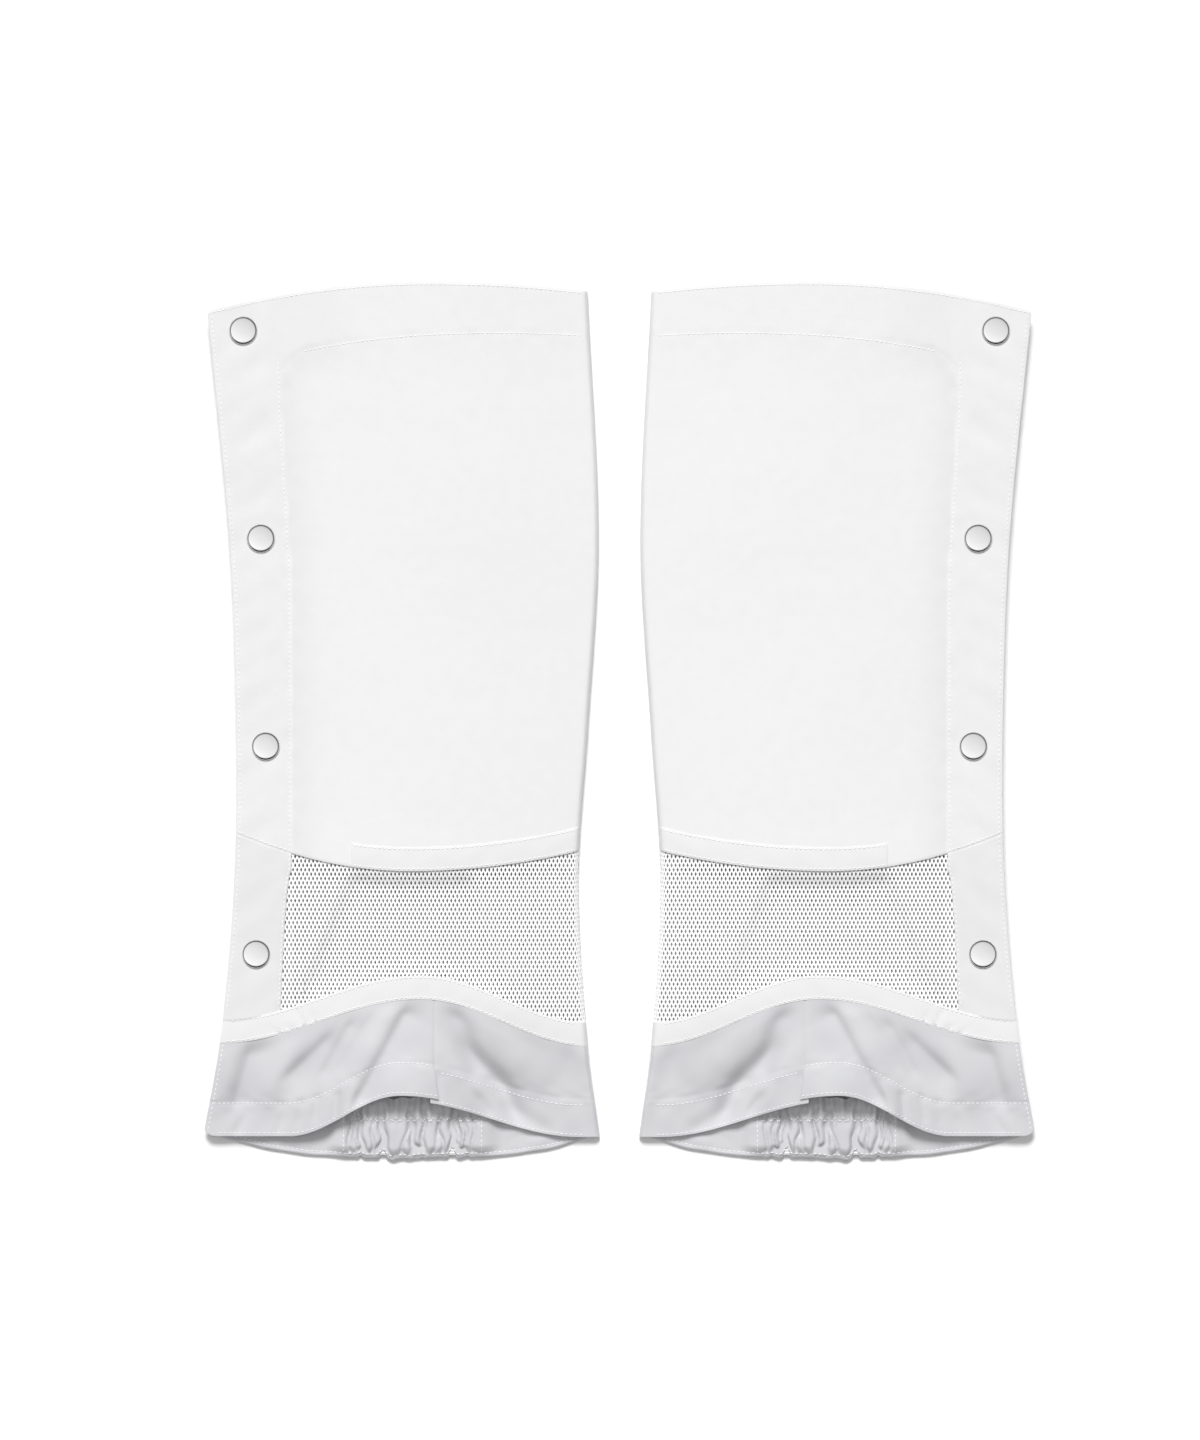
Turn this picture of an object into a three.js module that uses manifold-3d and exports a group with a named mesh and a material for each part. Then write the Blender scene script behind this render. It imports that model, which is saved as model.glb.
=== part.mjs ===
// A pair of wrap-round gaiters, lying closed on a flat surface with their fronts up.
// Each one is a cotton upper panel over a net vent and a satin cuff, front and back, joined along the
// inner side. The front ends in a placket flap whose four snap fasteners close on an underlap of the back.
// Millimetres, +Z up, +Y from the hem to the knee. The pair is mirrored about X = 0.
// Each gaiter is drawn once, with u the distance outward from the middle of the pair and y the height
// above the lowest hem.
import * as THREE from "three";
import Module from "manifold-3d";
import { mergeVertices } from "three/addons/utils/BufferGeometryUtils.js";

const wasm = await Module();
wasm.setup();

// Lengths along the leg.
const CUFF_LENGTH = 80.5; // lowest hem to the crest of the lower seam
const NET_LENGTH = 64; // crest of the lower seam to the sag of the upper seam
const UPPER_LENGTH = 294.5; // sag of the upper seam to the crown of the top edge
const LOWER_SEAM_Y = CUFF_LENGTH;
const UPPER_SEAM_Y = LOWER_SEAM_Y + NET_LENGTH;
const CROWN_Y = UPPER_SEAM_Y + UPPER_LENGTH;

// The flat width at the calf. Each station says how much wider the gaiter is there than at the calf, and
// how far its inner side draws back from the neighbour.
const CALF_WIDTH = 184.5;
const FOLD_TO_MIDDLE = 10.4; // how near the inner side comes to the middle of the pair
const STATIONS = [
  { y: 14, inset: 0, wider: 13 }, // hem
  { y: LOWER_SEAM_Y - 20.5, inset: 5.9, wider: -1 }, // instep
  { y: UPPER_SEAM_Y - 4.5, inset: 10.3, wider: -12.5 }, // ankle
  { y: UPPER_SEAM_Y + 70.5, inset: 5.6, wider: -8.7 }, // shin
  { y: UPPER_SEAM_Y + 165.5, inset: 0.3, wider: 0 }, // calf
  { y: CROWN_Y - 5, inset: 5.8, wider: 6.5 }, // top
];

// Edges and seams that run across the leg: the place of each one's crest or sag, and how far its two ends
// leave it.
const MIDDLE_U = FOLD_TO_MIDDLE + 0.5 * CALF_WIDTH;
const CROWN = { u: MIDDLE_U - 8, foldDrop: 4.5, edgeDrop: 15 };
const UPPER_SEAM = { u: MIDDLE_U + 2, foldRise: 10, edgeRise: 19.2 };
const LOWER_SEAM = { u: MIDDLE_U - 3, foldDip: 23.5, foldReach: 84, edgeDip: 22, edgeReach: 100 };
const FRONT_HEM = { u: MIDDLE_U + 7, y: 32.5, foldDip: 18.5, foldReach: 90, edgeDip: 20.5, edgeReach: 56 };
const BACK_HEM = { u: MIDDLE_U - 3, foldRise: 12.5, edgeRise: 16 };
const BACK_SEAM_SLOPE = 0.1; // the back's upper seam climbs towards the outer side
const BACK_SEAM_DROP = 23; // the back's lower seam lies straight, this far below the front's crest
const CUFF_SPLIT_U = MIDDLE_U - 10; // centre seam of the front cuff
const CUFF_STEP = 3; // the cuff's inner half hangs lower by this much
const BAND_WIDTH = 12;
const TOP_FACING_DEPTH = 25.5;
const PLACKET_WIDTH = 27; // hinge line to the outer edge at the ankle
const BACK_INSET = 1.5; // the back stays this far inside the front's outer edge
const TOP_INSET = 1; // and this far below its top edge
const CUFF_TUCK = 4; // the back cuff's outer end draws in by this much at the hem
const UNDERLAP_REACH = 3; // the underlap passes the hinge line by this much
const ELASTIC = { u: MIDDLE_U + 1, length: 67, y: 2.5, width: 20 };

// Thicknesses and the running gap between neighbours.
const GAP = 0.3;
const CLOTH = 0.8;
const NET = 0.6;
const BRAID = 0.8;
const FLAP = 1.2;
const UNDERLAP = 1;

// Snap fasteners, evenly spaced from the first below the crown to the last above the lower seam's crest.
const SNAP_COUNT = 4;
const FIRST_SNAP_BELOW_CROWN = 24.5;
const LAST_SNAP_ABOVE_SEAM = 22.6;
const SNAP_INSET_TOP = 17.3; // centre to the outer edge
const SNAP_INSET_BOTTOM = 13.8;
const CAP_RADIUS = 7;
const CAP_RIM = 0.6;
const CAP_DOME = 1;
const POST_RADIUS = 1.5;
const SOCKET_RADIUS = 5.5;
const SOCKET_ROOF = 0.6;
const STUD_RADIUS = 2;
const STUD_HEIGHT = 1.3;
const FLANGE_RADIUS = 4.6;
const FLANGE = 0.5;
const SNAP_PLAY = 0.5; // between a stud and the bore of its socket
const CHAMFER = 0.3;
const ROUND = 16; // sides of a turned piece

// Heights of the stack at the placket, from the surface up.
const TAPE_PROUD = 0.3; // the tapes stand this far out of the cloth beside them
const UNDERLAP_Z = CLOTH + GAP + FLANGE + GAP;
const STUD_BASE_Z = UNDERLAP_Z + UNDERLAP + GAP;
const STUD_TOP_Z = STUD_BASE_Z + FLANGE + STUD_HEIGHT;
const SOCKET_Z = STUD_BASE_Z + FLANGE + GAP;
const SOCKET_TOP_Z = STUD_TOP_Z + SOCKET_ROOF;
const FRONT_Z = SOCKET_TOP_Z + GAP + FLAP; // top of the front cloth at the hinge line
const CAP_Z = FRONT_Z + GAP;
const HINGE_Z = FRONT_Z + TAPE_PROUD + 0.1; // hinge line of the flap, just above the cloth and its tapes

// Loft of the front above the placket, and how far the cuff droops at its two sides.
const FOLD_DROP = 1;
const BODY_RISE = 5;
const HEM_RISE = 8.5;
const HEM_DROOP = 3.6;

const clamp01 = (t) => Math.min(1, Math.max(0, t));
const smooth = (t) => clamp01(t) ** 2 * (3 - 2 * clamp01(t));
const mix = (a, b, t) => a + (b - a) * t;
const halfWave = (t) => (1 - Math.cos(Math.PI * clamp01(t))) / 2;

// A smooth curve through the stations, read at height y.
function through(y, key) {
  const last = STATIONS.length - 1;
  let i = 0;
  while (i < last - 1 && y > STATIONS[i + 1].y) i++;
  const slope = (k) => {
    const a = STATIONS[Math.max(0, k - 1)];
    const b = STATIONS[Math.min(last, k + 1)];
    return (b[key] - a[key]) / (b.y - a.y);
  };
  const [a, b] = [STATIONS[i], STATIONS[i + 1]];
  const span = b.y - a.y;
  const t = Math.min(1.3, Math.max(-0.4, (y - a.y) / span));
  const straight = a[key] + slope(i) * (y - a.y);
  if (t < 0) return straight;
  if (t > 1) return b[key] + slope(i + 1) * (y - b.y);
  const [t2, t3] = [t * t, t * t * t];
  return (
    a[key] * (2 * t3 - 3 * t2 + 1) +
    slope(i) * span * (t3 - 2 * t2 + t) +
    b[key] * (3 * t2 - 2 * t3) +
    slope(i + 1) * span * (t3 - t2)
  );
}

const fold = (y) => FOLD_TO_MIDDLE + through(y, "inset");
const edge = (y) => fold(y) + CALF_WIDTH + through(y, "wider");
const HINGE_U = edge(UPPER_SEAM_Y) - PLACKET_WIDTH;
const BACK_LOWER_SEAM_Y = LOWER_SEAM_Y - BACK_SEAM_DROP;

// The front's hinge line runs along the inner side, between back and front. It and the flap's are the axes
// of the two joints.
export const hinges = {
  front: { u: FOLD_TO_MIDDLE - 2 * GAP, z: CLOTH + 0.5 * GAP },
  flap: { u: HINGE_U, z: HINGE_Z },
};

// Runs across the leg, as heights over u. A bow leaves its crest by the given amounts at its two ends.
const bow = (u, { u: crest }, atFold, atEdge, y) =>
  u < crest
    ? atFold * ((crest - u) / (crest - fold(y))) ** 2
    : atEdge * ((u - crest) / (edge(y) - crest)) ** 2;
const topEdge = (u) => CROWN_Y - bow(u, CROWN, CROWN.foldDrop, CROWN.edgeDrop, CROWN_Y);
const upperSeam = (u) =>
  UPPER_SEAM_Y + bow(u, UPPER_SEAM, UPPER_SEAM.foldRise, UPPER_SEAM.edgeRise, UPPER_SEAM_Y);
const wave = (u, { u: crest, foldDip, foldReach, edgeDip, edgeReach }) =>
  u < crest ? foldDip * halfWave((crest - u) / foldReach) : edgeDip * halfWave((u - crest) / edgeReach);
const lowerSeam = (u) => LOWER_SEAM_Y - wave(u, LOWER_SEAM);
const frontHem = (u) => FRONT_HEM.y - wave(u, FRONT_HEM);
const backHem = (u) =>
  u < BACK_HEM.u
    ? BACK_HEM.foldRise * clamp01((BACK_HEM.u - u) / (BACK_HEM.u - fold(0))) ** 3
    : BACK_HEM.edgeRise * clamp01((u - BACK_HEM.u) / (edge(0) - BACK_HEM.u)) ** 3;
const backUpperSeam = (u) => UPPER_SEAM_Y + BACK_SEAM_SLOPE * (u - fold(UPPER_SEAM_Y));

// Height of the top of the front cloth.
function frontSurface(u, y) {
  const across = clamp01((u - fold(y)) / (HINGE_U - fold(y)));
  const hem = smooth((LOWER_SEAM_Y - y) / (LOWER_SEAM_Y - FRONT_HEM.y));
  const droop = HEM_DROOP * smooth((lowerSeam(u) - y) / (LOWER_SEAM_Y - FRONT_HEM.y));
  const base = FRONT_Z - FOLD_DROP * (1 - across) - droop * (1 - Math.sin(Math.PI * across));
  return base + mix(BODY_RISE, HEM_RISE, hem) * Math.sin(Math.PI * across);
}

// A sheet between two runs along the leg and two across it, closed all round.
// low and high are functions of height, bottom and top functions of u; over and under give its two faces.
function sheet({ low, high, bottom, top, over, under, columns, rows }) {
  const points = [];
  const place = (s, t) => {
    let y = mix(bottom(HINGE_U), top(HINGE_U), t);
    let u = 0;
    for (let turn = 0; turn < 8; turn++) {
      u = mix(low(y), high(y), s);
      y = mix(bottom(u), top(u), t);
    }
    return [u, y];
  };
  for (const face of [over, under])
    for (let j = 0; j <= rows; j++)
      for (let i = 0; i <= columns; i++) {
        const [u, y] = place(i / columns, j / rows);
        points.push(u, y, face(u, y));
      }
  const wide = columns + 1;
  const layer = wide * (rows + 1);
  const faces = [];
  const quad = (a, b, c, d) => faces.push(a, b, c, a, c, d);
  for (let j = 0; j < rows; j++)
    for (let i = 0; i < columns; i++) {
      const a = j * wide + i;
      quad(a, a + 1, a + 1 + wide, a + wide);
      quad(layer + a, layer + a + wide, layer + a + 1 + wide, layer + a + 1);
    }
  const wall = (a, b) => quad(b, a, layer + a, layer + b);
  for (let i = 0; i < columns; i++) {
    wall(i, i + 1);
    wall(layer - 1 - i, layer - 2 - i);
  }
  for (let j = 0; j < rows; j++) {
    wall(columns + j * wide, columns + (j + 1) * wide);
    wall((rows - j) * wide, (rows - j - 1) * wide);
  }
  const geometry = new THREE.BufferGeometry();
  geometry.setAttribute("position", new THREE.Float32BufferAttribute(points, 3));
  geometry.setIndex(faces);
  return geometry;
}

// A turned piece about +Z from a profile of [radius, height] points, upwards on the outside.
const turned = (profile) =>
  new THREE.LatheGeometry(profile.map(([r, z]) => new THREE.Vector2(r, z)), ROUND).rotateX(Math.PI / 2);

// Joins and cuts.
function solidOf(geometry) {
  const bare = geometry.clone();
  bare.deleteAttribute("normal");
  bare.deleteAttribute("uv");
  const merged = mergeVertices(bare, 1e-4);
  return new wasm.Manifold(
    new wasm.Mesh({
      numProp: 3,
      vertProperties: new Float32Array(merged.attributes.position.array),
      triVerts: new Uint32Array(merged.index.array),
    }),
  );
}

function geometryOf(solid) {
  const mesh = solid.getMesh();
  const geometry = new THREE.BufferGeometry();
  geometry.setAttribute("position", new THREE.BufferAttribute(new Float32Array(mesh.vertProperties), 3));
  geometry.setIndex(new THREE.BufferAttribute(new Uint32Array(mesh.triVerts), 1));
  return geometry;
}

const joined = (a, b) => geometryOf(solidOf(a).add(solidOf(b)));
const cut = (geometry, tools) =>
  geometryOf(tools.reduce((left, tool) => left.subtract(solidOf(tool)), solidOf(geometry)));

// A straight hole through the cloth at each of the given snaps.
const holes = (snaps, radius) =>
  snaps.map(({ u, y }) =>
    new THREE.CylinderGeometry(radius, radius, 4 * FRONT_Z, ROUND).rotateX(Math.PI / 2).translate(u, y, 0),
  );

const material = (color, roughness, metalness = 0) =>
  new THREE.MeshStandardMaterial({ color, roughness, metalness });
const cotton = material(0xf3f3f3, 0.9);
const tape = material(0xf7f7f7, 0.85);
const net = material(0xe8e8e8, 0.8);
const satin = material(0xd2d2d5, 0.4);
const elastic = material(0xededed, 0.8);
const nickel = material(0xc9c9c9, 0.25, 1);

const snaps = Array.from({ length: SNAP_COUNT }, (_, i) => {
  const down = i / (SNAP_COUNT - 1);
  const y = mix(CROWN_Y - FIRST_SNAP_BELOW_CROWN, LOWER_SEAM_Y + LAST_SNAP_ABOVE_SEAM, down);
  return { y, u: edge(y) - mix(SNAP_INSET_TOP, SNAP_INSET_BOTTOM, down) };
});

const backEdge = (y) => edge(y) - BACK_INSET;
const flat = (z) => () => z;
const shifted = (run, by) => (u) => run(u) + by;

// One layer of the back, flat on the surface.
const backSheet = (bottom, top, thickness, rows = 3) =>
  sheet({ low: fold, high: backEdge, bottom, top, over: flat(thickness), under: flat(0), columns: 10, rows });

// The back's outer edge, turned up and back in under the flap: a level sheet and the wall that carries it.
function underlapGeometry() {
  const level = sheet({
    low: flat(HINGE_U - UNDERLAP_REACH),
    high: backEdge,
    bottom: lowerSeam,
    top: shifted(topEdge, -TOP_INSET - GAP),
    over: flat(UNDERLAP_Z + UNDERLAP),
    under: flat(UNDERLAP_Z),
    columns: 1,
    rows: 12,
  });
  const wall = sheet({
    low: (y) => backEdge(y) - CLOTH,
    high: backEdge,
    bottom: shifted(lowerSeam, 2 * BAND_WIDTH),
    top: shifted(topEdge, -2 * TOP_INSET),
    over: flat(UNDERLAP_Z + 0.5 * UNDERLAP),
    under: flat(CLOTH + TAPE_PROUD + GAP),
    columns: 1,
    rows: 12,
  });
  return cut(joined(level, wall), holes(snaps, POST_RADIUS + GAP));
}

function backPieces() {
  const upperTape = (by) => shifted(backUpperSeam, by);
  const lowerTape = (by) => flat(BACK_LOWER_SEAM_Y + by);
  const cuffEdge = (y) => backEdge(y) - CUFF_TUCK * smooth((LOWER_SEAM_Y - y) / LOWER_SEAM_Y);
  const panelTop = shifted(topEdge, -TOP_INSET);
  return [
    ["back_panel", backSheet(upperTape(BAND_WIDTH + GAP), panelTop, CLOTH, 8), cotton],
    ["back_upper_tape", backSheet(upperTape(0), upperTape(BAND_WIDTH), CLOTH + TAPE_PROUD, 1), tape],
    ["back_net", backSheet(lowerTape(BAND_WIDTH + GAP), upperTape(-GAP), NET, 4), net],
    ["back_lower_tape", backSheet(lowerTape(0), lowerTape(BAND_WIDTH), CLOTH + TAPE_PROUD, 1), tape],
    [
      "back_cuff",
      sheet({
        low: fold,
        high: cuffEdge,
        bottom: backHem,
        top: lowerTape(-GAP),
        over: flat(CLOTH),
        under: flat(0),
        columns: 14,
        rows: 3,
      }),
      satin,
    ],
    [
      "cuff_elastic",
      sheet({
        low: flat(ELASTIC.u - 0.5 * ELASTIC.length),
        high: flat(ELASTIC.u + 0.5 * ELASTIC.length),
        bottom: flat(ELASTIC.y),
        top: flat(ELASTIC.y + ELASTIC.width),
        over: flat(CLOTH + GAP + BRAID),
        under: flat(CLOTH + GAP),
        columns: 1,
        rows: 1,
      }),
      elastic,
    ],
    ["underlap", underlapGeometry(), cotton],
  ];
}

// One layer of the front, from low to the flap's hinge line.
function frontLayer({ low, bottom, top, proud = 0, thickness = CLOTH, rows = 3 }) {
  const over = (u, y) => frontSurface(u, y) + proud;
  const under = (u, y) => over(u, y) - thickness;
  return sheet({ low, high: flat(HINGE_U - 0.5 * GAP), bottom, top, over, under, columns: 10, rows });
}

// A layer that starts at the inner side, where a wall turns it down to the back.
function foldedLayer(layer) {
  const wall = sheet({
    low: fold,
    high: (y) => fold(y) + CLOTH,
    bottom: layer.bottom,
    top: layer.top,
    over: (u, y) => frontSurface(u, y) + (layer.proud ?? 0) - 0.5 * NET,
    under: flat(CLOTH + TAPE_PROUD + GAP),
    columns: 1,
    rows: layer.rows ?? 3,
  });
  return joined(frontLayer({ low: fold, ...layer }), wall);
}

// Everything on one side of the cuff's centre seam: outward of it for +1, inward of it for -1.
function pastSplit(side) {
  const reach = 4 * CUFF_LENGTH;
  const away = side * 0.5 * (GAP + reach);
  return new THREE.BoxGeometry(reach, reach, reach).translate(CUFF_SPLIT_U + away - side * GAP, 0, 0);
}

function frontPieces() {
  const upperTape = (by) => shifted(upperSeam, by);
  const lowerTape = (by) => shifted(lowerSeam, by);
  const band = (at) => foldedLayer({ bottom: at(0), top: at(BAND_WIDTH), proud: TAPE_PROUD, rows: 1 });
  const cuff = (hangs) => foldedLayer({ bottom: shifted(frontHem, -hangs), top: lowerTape(-GAP) });
  const facing = frontLayer({
    low: (y) => fold(y) + CLOTH + GAP,
    bottom: shifted(topEdge, -TOP_FACING_DEPTH),
    top: shifted(topEdge, -0.5 * TOP_INSET),
    proud: -CLOTH - GAP,
    rows: 1,
  });
  return [
    ["front_panel", foldedLayer({ bottom: upperTape(BAND_WIDTH + GAP), top: topEdge, rows: 8 }), cotton],
    ["top_facing", facing, cotton],
    ["front_upper_tape", band(upperTape), tape],
    [
      "front_net",
      foldedLayer({ bottom: lowerTape(BAND_WIDTH + GAP), top: upperTape(-GAP), thickness: NET }),
      net,
    ],
    ["front_lower_tape", band(lowerTape), tape],
    ["front_cuff_inner", cut(cuff(CUFF_STEP), [pastSplit(1)]), satin],
    ["front_cuff_outer", cut(cuff(0), [pastSplit(-1)]), satin],
  ];
}

function flapPieces() {
  const strip = (bottom, top, proud, thickness, rows) =>
    sheet({
      low: flat(HINGE_U + 0.5 * GAP),
      high: edge,
      bottom,
      top,
      over: (u, y) => frontSurface(HINGE_U, y) + proud,
      under: (u, y) => frontSurface(HINGE_U, y) + proud - thickness,
      columns: 3,
      rows,
    });
  const postHoles = holes(snaps, POST_RADIUS + GAP);
  const lowerTape = (by) => shifted(lowerSeam, by);
  const netPlacket = strip(lowerTape(BAND_WIDTH + GAP), shifted(upperSeam, -GAP), 0, FLAP, 4);
  return [
    ["flap_placket", cut(strip(upperSeam, topEdge, 0, FLAP, 9), postHoles), cotton],
    ["flap_net_placket", cut(netPlacket, postHoles), cotton],
    ["flap_tape", strip(lowerTape(0), lowerTape(BAND_WIDTH), TAPE_PROUD, FLAP, 1), tape],
    ["flap_cuff", strip(frontHem, lowerTape(-GAP), 0, CLOTH, 3), satin],
  ];
}

// A domed cap whose post passes through the flap into the socket.
function capGeometry() {
  const postEnd = STUD_TOP_Z + GAP;
  return turned([
    [0, postEnd],
    [POST_RADIUS, postEnd],
    [POST_RADIUS, CAP_Z],
    [CAP_RADIUS - CHAMFER, CAP_Z],
    [CAP_RADIUS, CAP_Z + 0.5 * CAP_RIM],
    [CAP_RADIUS - CHAMFER, CAP_Z + CAP_RIM],
    [0.6 * CAP_RADIUS, CAP_Z + CAP_RIM + 0.7 * CAP_DOME],
    [0, CAP_Z + CAP_RIM + CAP_DOME],
  ]);
}

// A ring under the flap, its narrow upper bore round the cap's post and its wide one round the stud.
function socketGeometry() {
  const shoulder = STUD_TOP_Z + 0.5 * GAP;
  const profile = [
    [STUD_RADIUS + SNAP_PLAY, SOCKET_Z],
    [SOCKET_RADIUS - CHAMFER, SOCKET_Z],
    [SOCKET_RADIUS, SOCKET_Z + CHAMFER],
    [SOCKET_RADIUS, SOCKET_TOP_Z - CHAMFER],
    [SOCKET_RADIUS - CHAMFER, SOCKET_TOP_Z],
    [POST_RADIUS + GAP, SOCKET_TOP_Z],
    [POST_RADIUS + GAP, shoulder],
    [STUD_RADIUS + SNAP_PLAY, shoulder],
  ];
  return turned([...profile, profile[0]]);
}

// A stud riveted through the underlap between its flange below and its base above.
function studGeometry() {
  const below = UNDERLAP_Z - GAP;
  const baseTop = STUD_BASE_Z + FLANGE;
  return turned([
    [0, below - FLANGE],
    [FLANGE_RADIUS, below - FLANGE],
    [FLANGE_RADIUS, below],
    [POST_RADIUS, below],
    [POST_RADIUS, STUD_BASE_Z],
    [FLANGE_RADIUS, STUD_BASE_Z],
    [FLANGE_RADIUS, baseTop],
    [STUD_RADIUS - CHAMFER, baseTop],
    [STUD_RADIUS, STUD_TOP_Z - CHAMFER],
    [STUD_RADIUS - CHAMFER, STUD_TOP_Z],
    [0, STUD_TOP_Z],
  ]);
}

const snapPieces = () =>
  snaps.flatMap(({ u, y }, i) =>
    [
      ["snap_cap", capGeometry()],
      ["snap_socket", socketGeometry()],
      ["snap_stud", studGeometry()],
    ].map(([name, geometry]) => [`${name}_${i + 1}`, geometry.translate(u, y, 0), nickel]),
  );

// The same geometry on the other side of X = 0, with its faces turned back outwards.
function mirrored(geometry) {
  const copy = mergeVertices(geometry.index ? geometry.clone() : geometry, 1e-4);
  const index = copy.index.array;
  for (let i = 0; i < index.length; i += 3) [index[i + 1], index[i + 2]] = [index[i + 2], index[i + 1]];
  return copy.scale(-1, 1, 1);
}

function gaiter(side) {
  const group = new THREE.Group();
  const pieces = [...backPieces(), ...frontPieces(), ...flapPieces(), ...snapPieces()];
  for (const [name, geometry, finish] of pieces) {
    const mesh = new THREE.Mesh(side === "left" ? mirrored(geometry) : geometry, finish);
    mesh.name = `${side}_${name}`;
    group.add(mesh);
  }
  return group;
}

const pair = new THREE.Group();
pair.add(gaiter("left"), gaiter("right"));
const box = new THREE.Box3().setFromObject(pair);
pair.position.y = -0.5 * (box.min.y + box.max.y);

export default pair;
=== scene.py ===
"""A pair of wrap-round gaiters in cotton, net and satin, lying closed with their fronts up.

Each gaiter is drawn once, in millimetres: u runs outward from the middle of the pair, y up from the lowest
hem and z up from the surface. `Side` mirrors it and `metres` puts it in the frame.
"""

import logging
import math
from collections.abc import Callable
from dataclasses import dataclass
from enum import Enum

import bmesh
import bpy
import numpy as np
from mathutils import Matrix, Vector


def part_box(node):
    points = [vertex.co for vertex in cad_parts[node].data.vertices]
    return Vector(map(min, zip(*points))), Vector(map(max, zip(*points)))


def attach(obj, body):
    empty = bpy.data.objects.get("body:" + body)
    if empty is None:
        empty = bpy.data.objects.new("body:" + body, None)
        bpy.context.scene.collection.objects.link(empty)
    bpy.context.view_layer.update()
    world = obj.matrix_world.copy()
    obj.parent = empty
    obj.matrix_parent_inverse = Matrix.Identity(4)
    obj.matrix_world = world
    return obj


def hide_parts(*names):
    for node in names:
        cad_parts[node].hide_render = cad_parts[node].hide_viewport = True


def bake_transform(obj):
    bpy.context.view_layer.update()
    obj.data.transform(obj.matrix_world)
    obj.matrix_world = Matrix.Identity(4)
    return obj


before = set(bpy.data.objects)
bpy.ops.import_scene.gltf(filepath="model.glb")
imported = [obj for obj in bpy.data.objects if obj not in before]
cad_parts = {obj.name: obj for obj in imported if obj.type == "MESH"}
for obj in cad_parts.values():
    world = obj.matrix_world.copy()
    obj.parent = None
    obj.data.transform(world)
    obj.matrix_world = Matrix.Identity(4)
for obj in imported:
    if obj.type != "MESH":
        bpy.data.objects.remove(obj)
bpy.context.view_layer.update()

log = logging.getLogger("gaiters")

Field = np.ndarray
Run = Callable[[Field], Field]
Relief = Callable[[Field, Field], Field]
Hang = Callable[[Field, Field], tuple[Field, Field]]
Profile = list[tuple[float, float]]

MM = 0.001


class Side(Enum):
    """Which gaiter of the pair, as the sign of its X."""

    LEFT = -1
    RIGHT = 1

    def name_of(self, piece: str) -> str:
        """Name a piece or a CAD node of this gaiter."""
        return f"{self.name.lower()}_{piece}"


class Hold(Enum):
    """Which bodies a piece goes with: one, or two that it lies between."""

    BACK = ("back", "back")
    FLAP = ("flap", "flap")
    SEAM = ("back", "front")
    PLACKET = ("front", "flap")


# ---------------------------------------------------------------------------------------------------------
# Shape of one gaiter


def smooth(t: Field) -> Field:
    """Ease from 0 to 1 as t goes from 0 to 1."""
    t = np.clip(t, 0, 1)
    return t * t * (3 - 2 * t)


def mix(a: Field, b: Field, t: Field) -> Field:
    """Go from a to b as t goes from 0 to 1."""
    return a + (b - a) * t


def constant(value: float) -> Run:
    """Make a run that is the same everywhere."""
    return lambda along: np.full_like(np.asarray(along, float), value)


def shifted(run: Run, by: float) -> Run:
    """Move a run by a distance."""
    return lambda along: run(along) + by


@dataclass(frozen=True)
class Crease:
    """A soft ridge or valley in cloth between two places on the plan.

    Args:
        start: Where it begins, as (u, y).
        end: Where it ends.
        width: How far it spreads to each side, in mm.
        height: How high it stands, below zero for a valley.
        spread: How many times farther it reaches on its inward or upward side.
    """

    start: tuple[float, float]
    end: tuple[float, float]
    width: float
    height: float
    spread: float = 1.0

    def lift(self, u: Field, y: Field) -> Field:
        """Give the height it adds at each place."""
        along = np.subtract(self.end, self.start)
        length = float(np.hypot(*along))
        du, dy = u - self.start[0], y - self.start[1]
        t = (du * along[0] + dy * along[1]) / length**2
        across = (du * along[1] - dy * along[0]) / length
        past = np.maximum(np.abs(t - 0.5) - 0.5, 0) * length
        width = self.width * np.where(across > 0, self.spread, 1)
        return self.height * np.exp(-((across / width) ** 2) - (past / (1.6 * self.width + 2)) ** 2)


def ruffle(u: Field, y: Field, grain: float, seed: float) -> Field:
    """Give a smooth irregular field between about -1 and 1.

    Args:
        u: Places outward, in mm.
        y: Places upward, in mm.
        grain: The usual distance between its bumps, in mm.
        seed: Any number; another one gives another field.
    """
    total = np.zeros_like(u)
    for k in range(1, 6):
        turn = seed + 2.4 * k
        reach = 2 * math.pi / (grain * (0.7 + 0.17 * k))
        total += np.sin((u * math.cos(turn) + y * math.sin(turn)) * reach + 1.7 * turn * k)
    return total / 3


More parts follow.
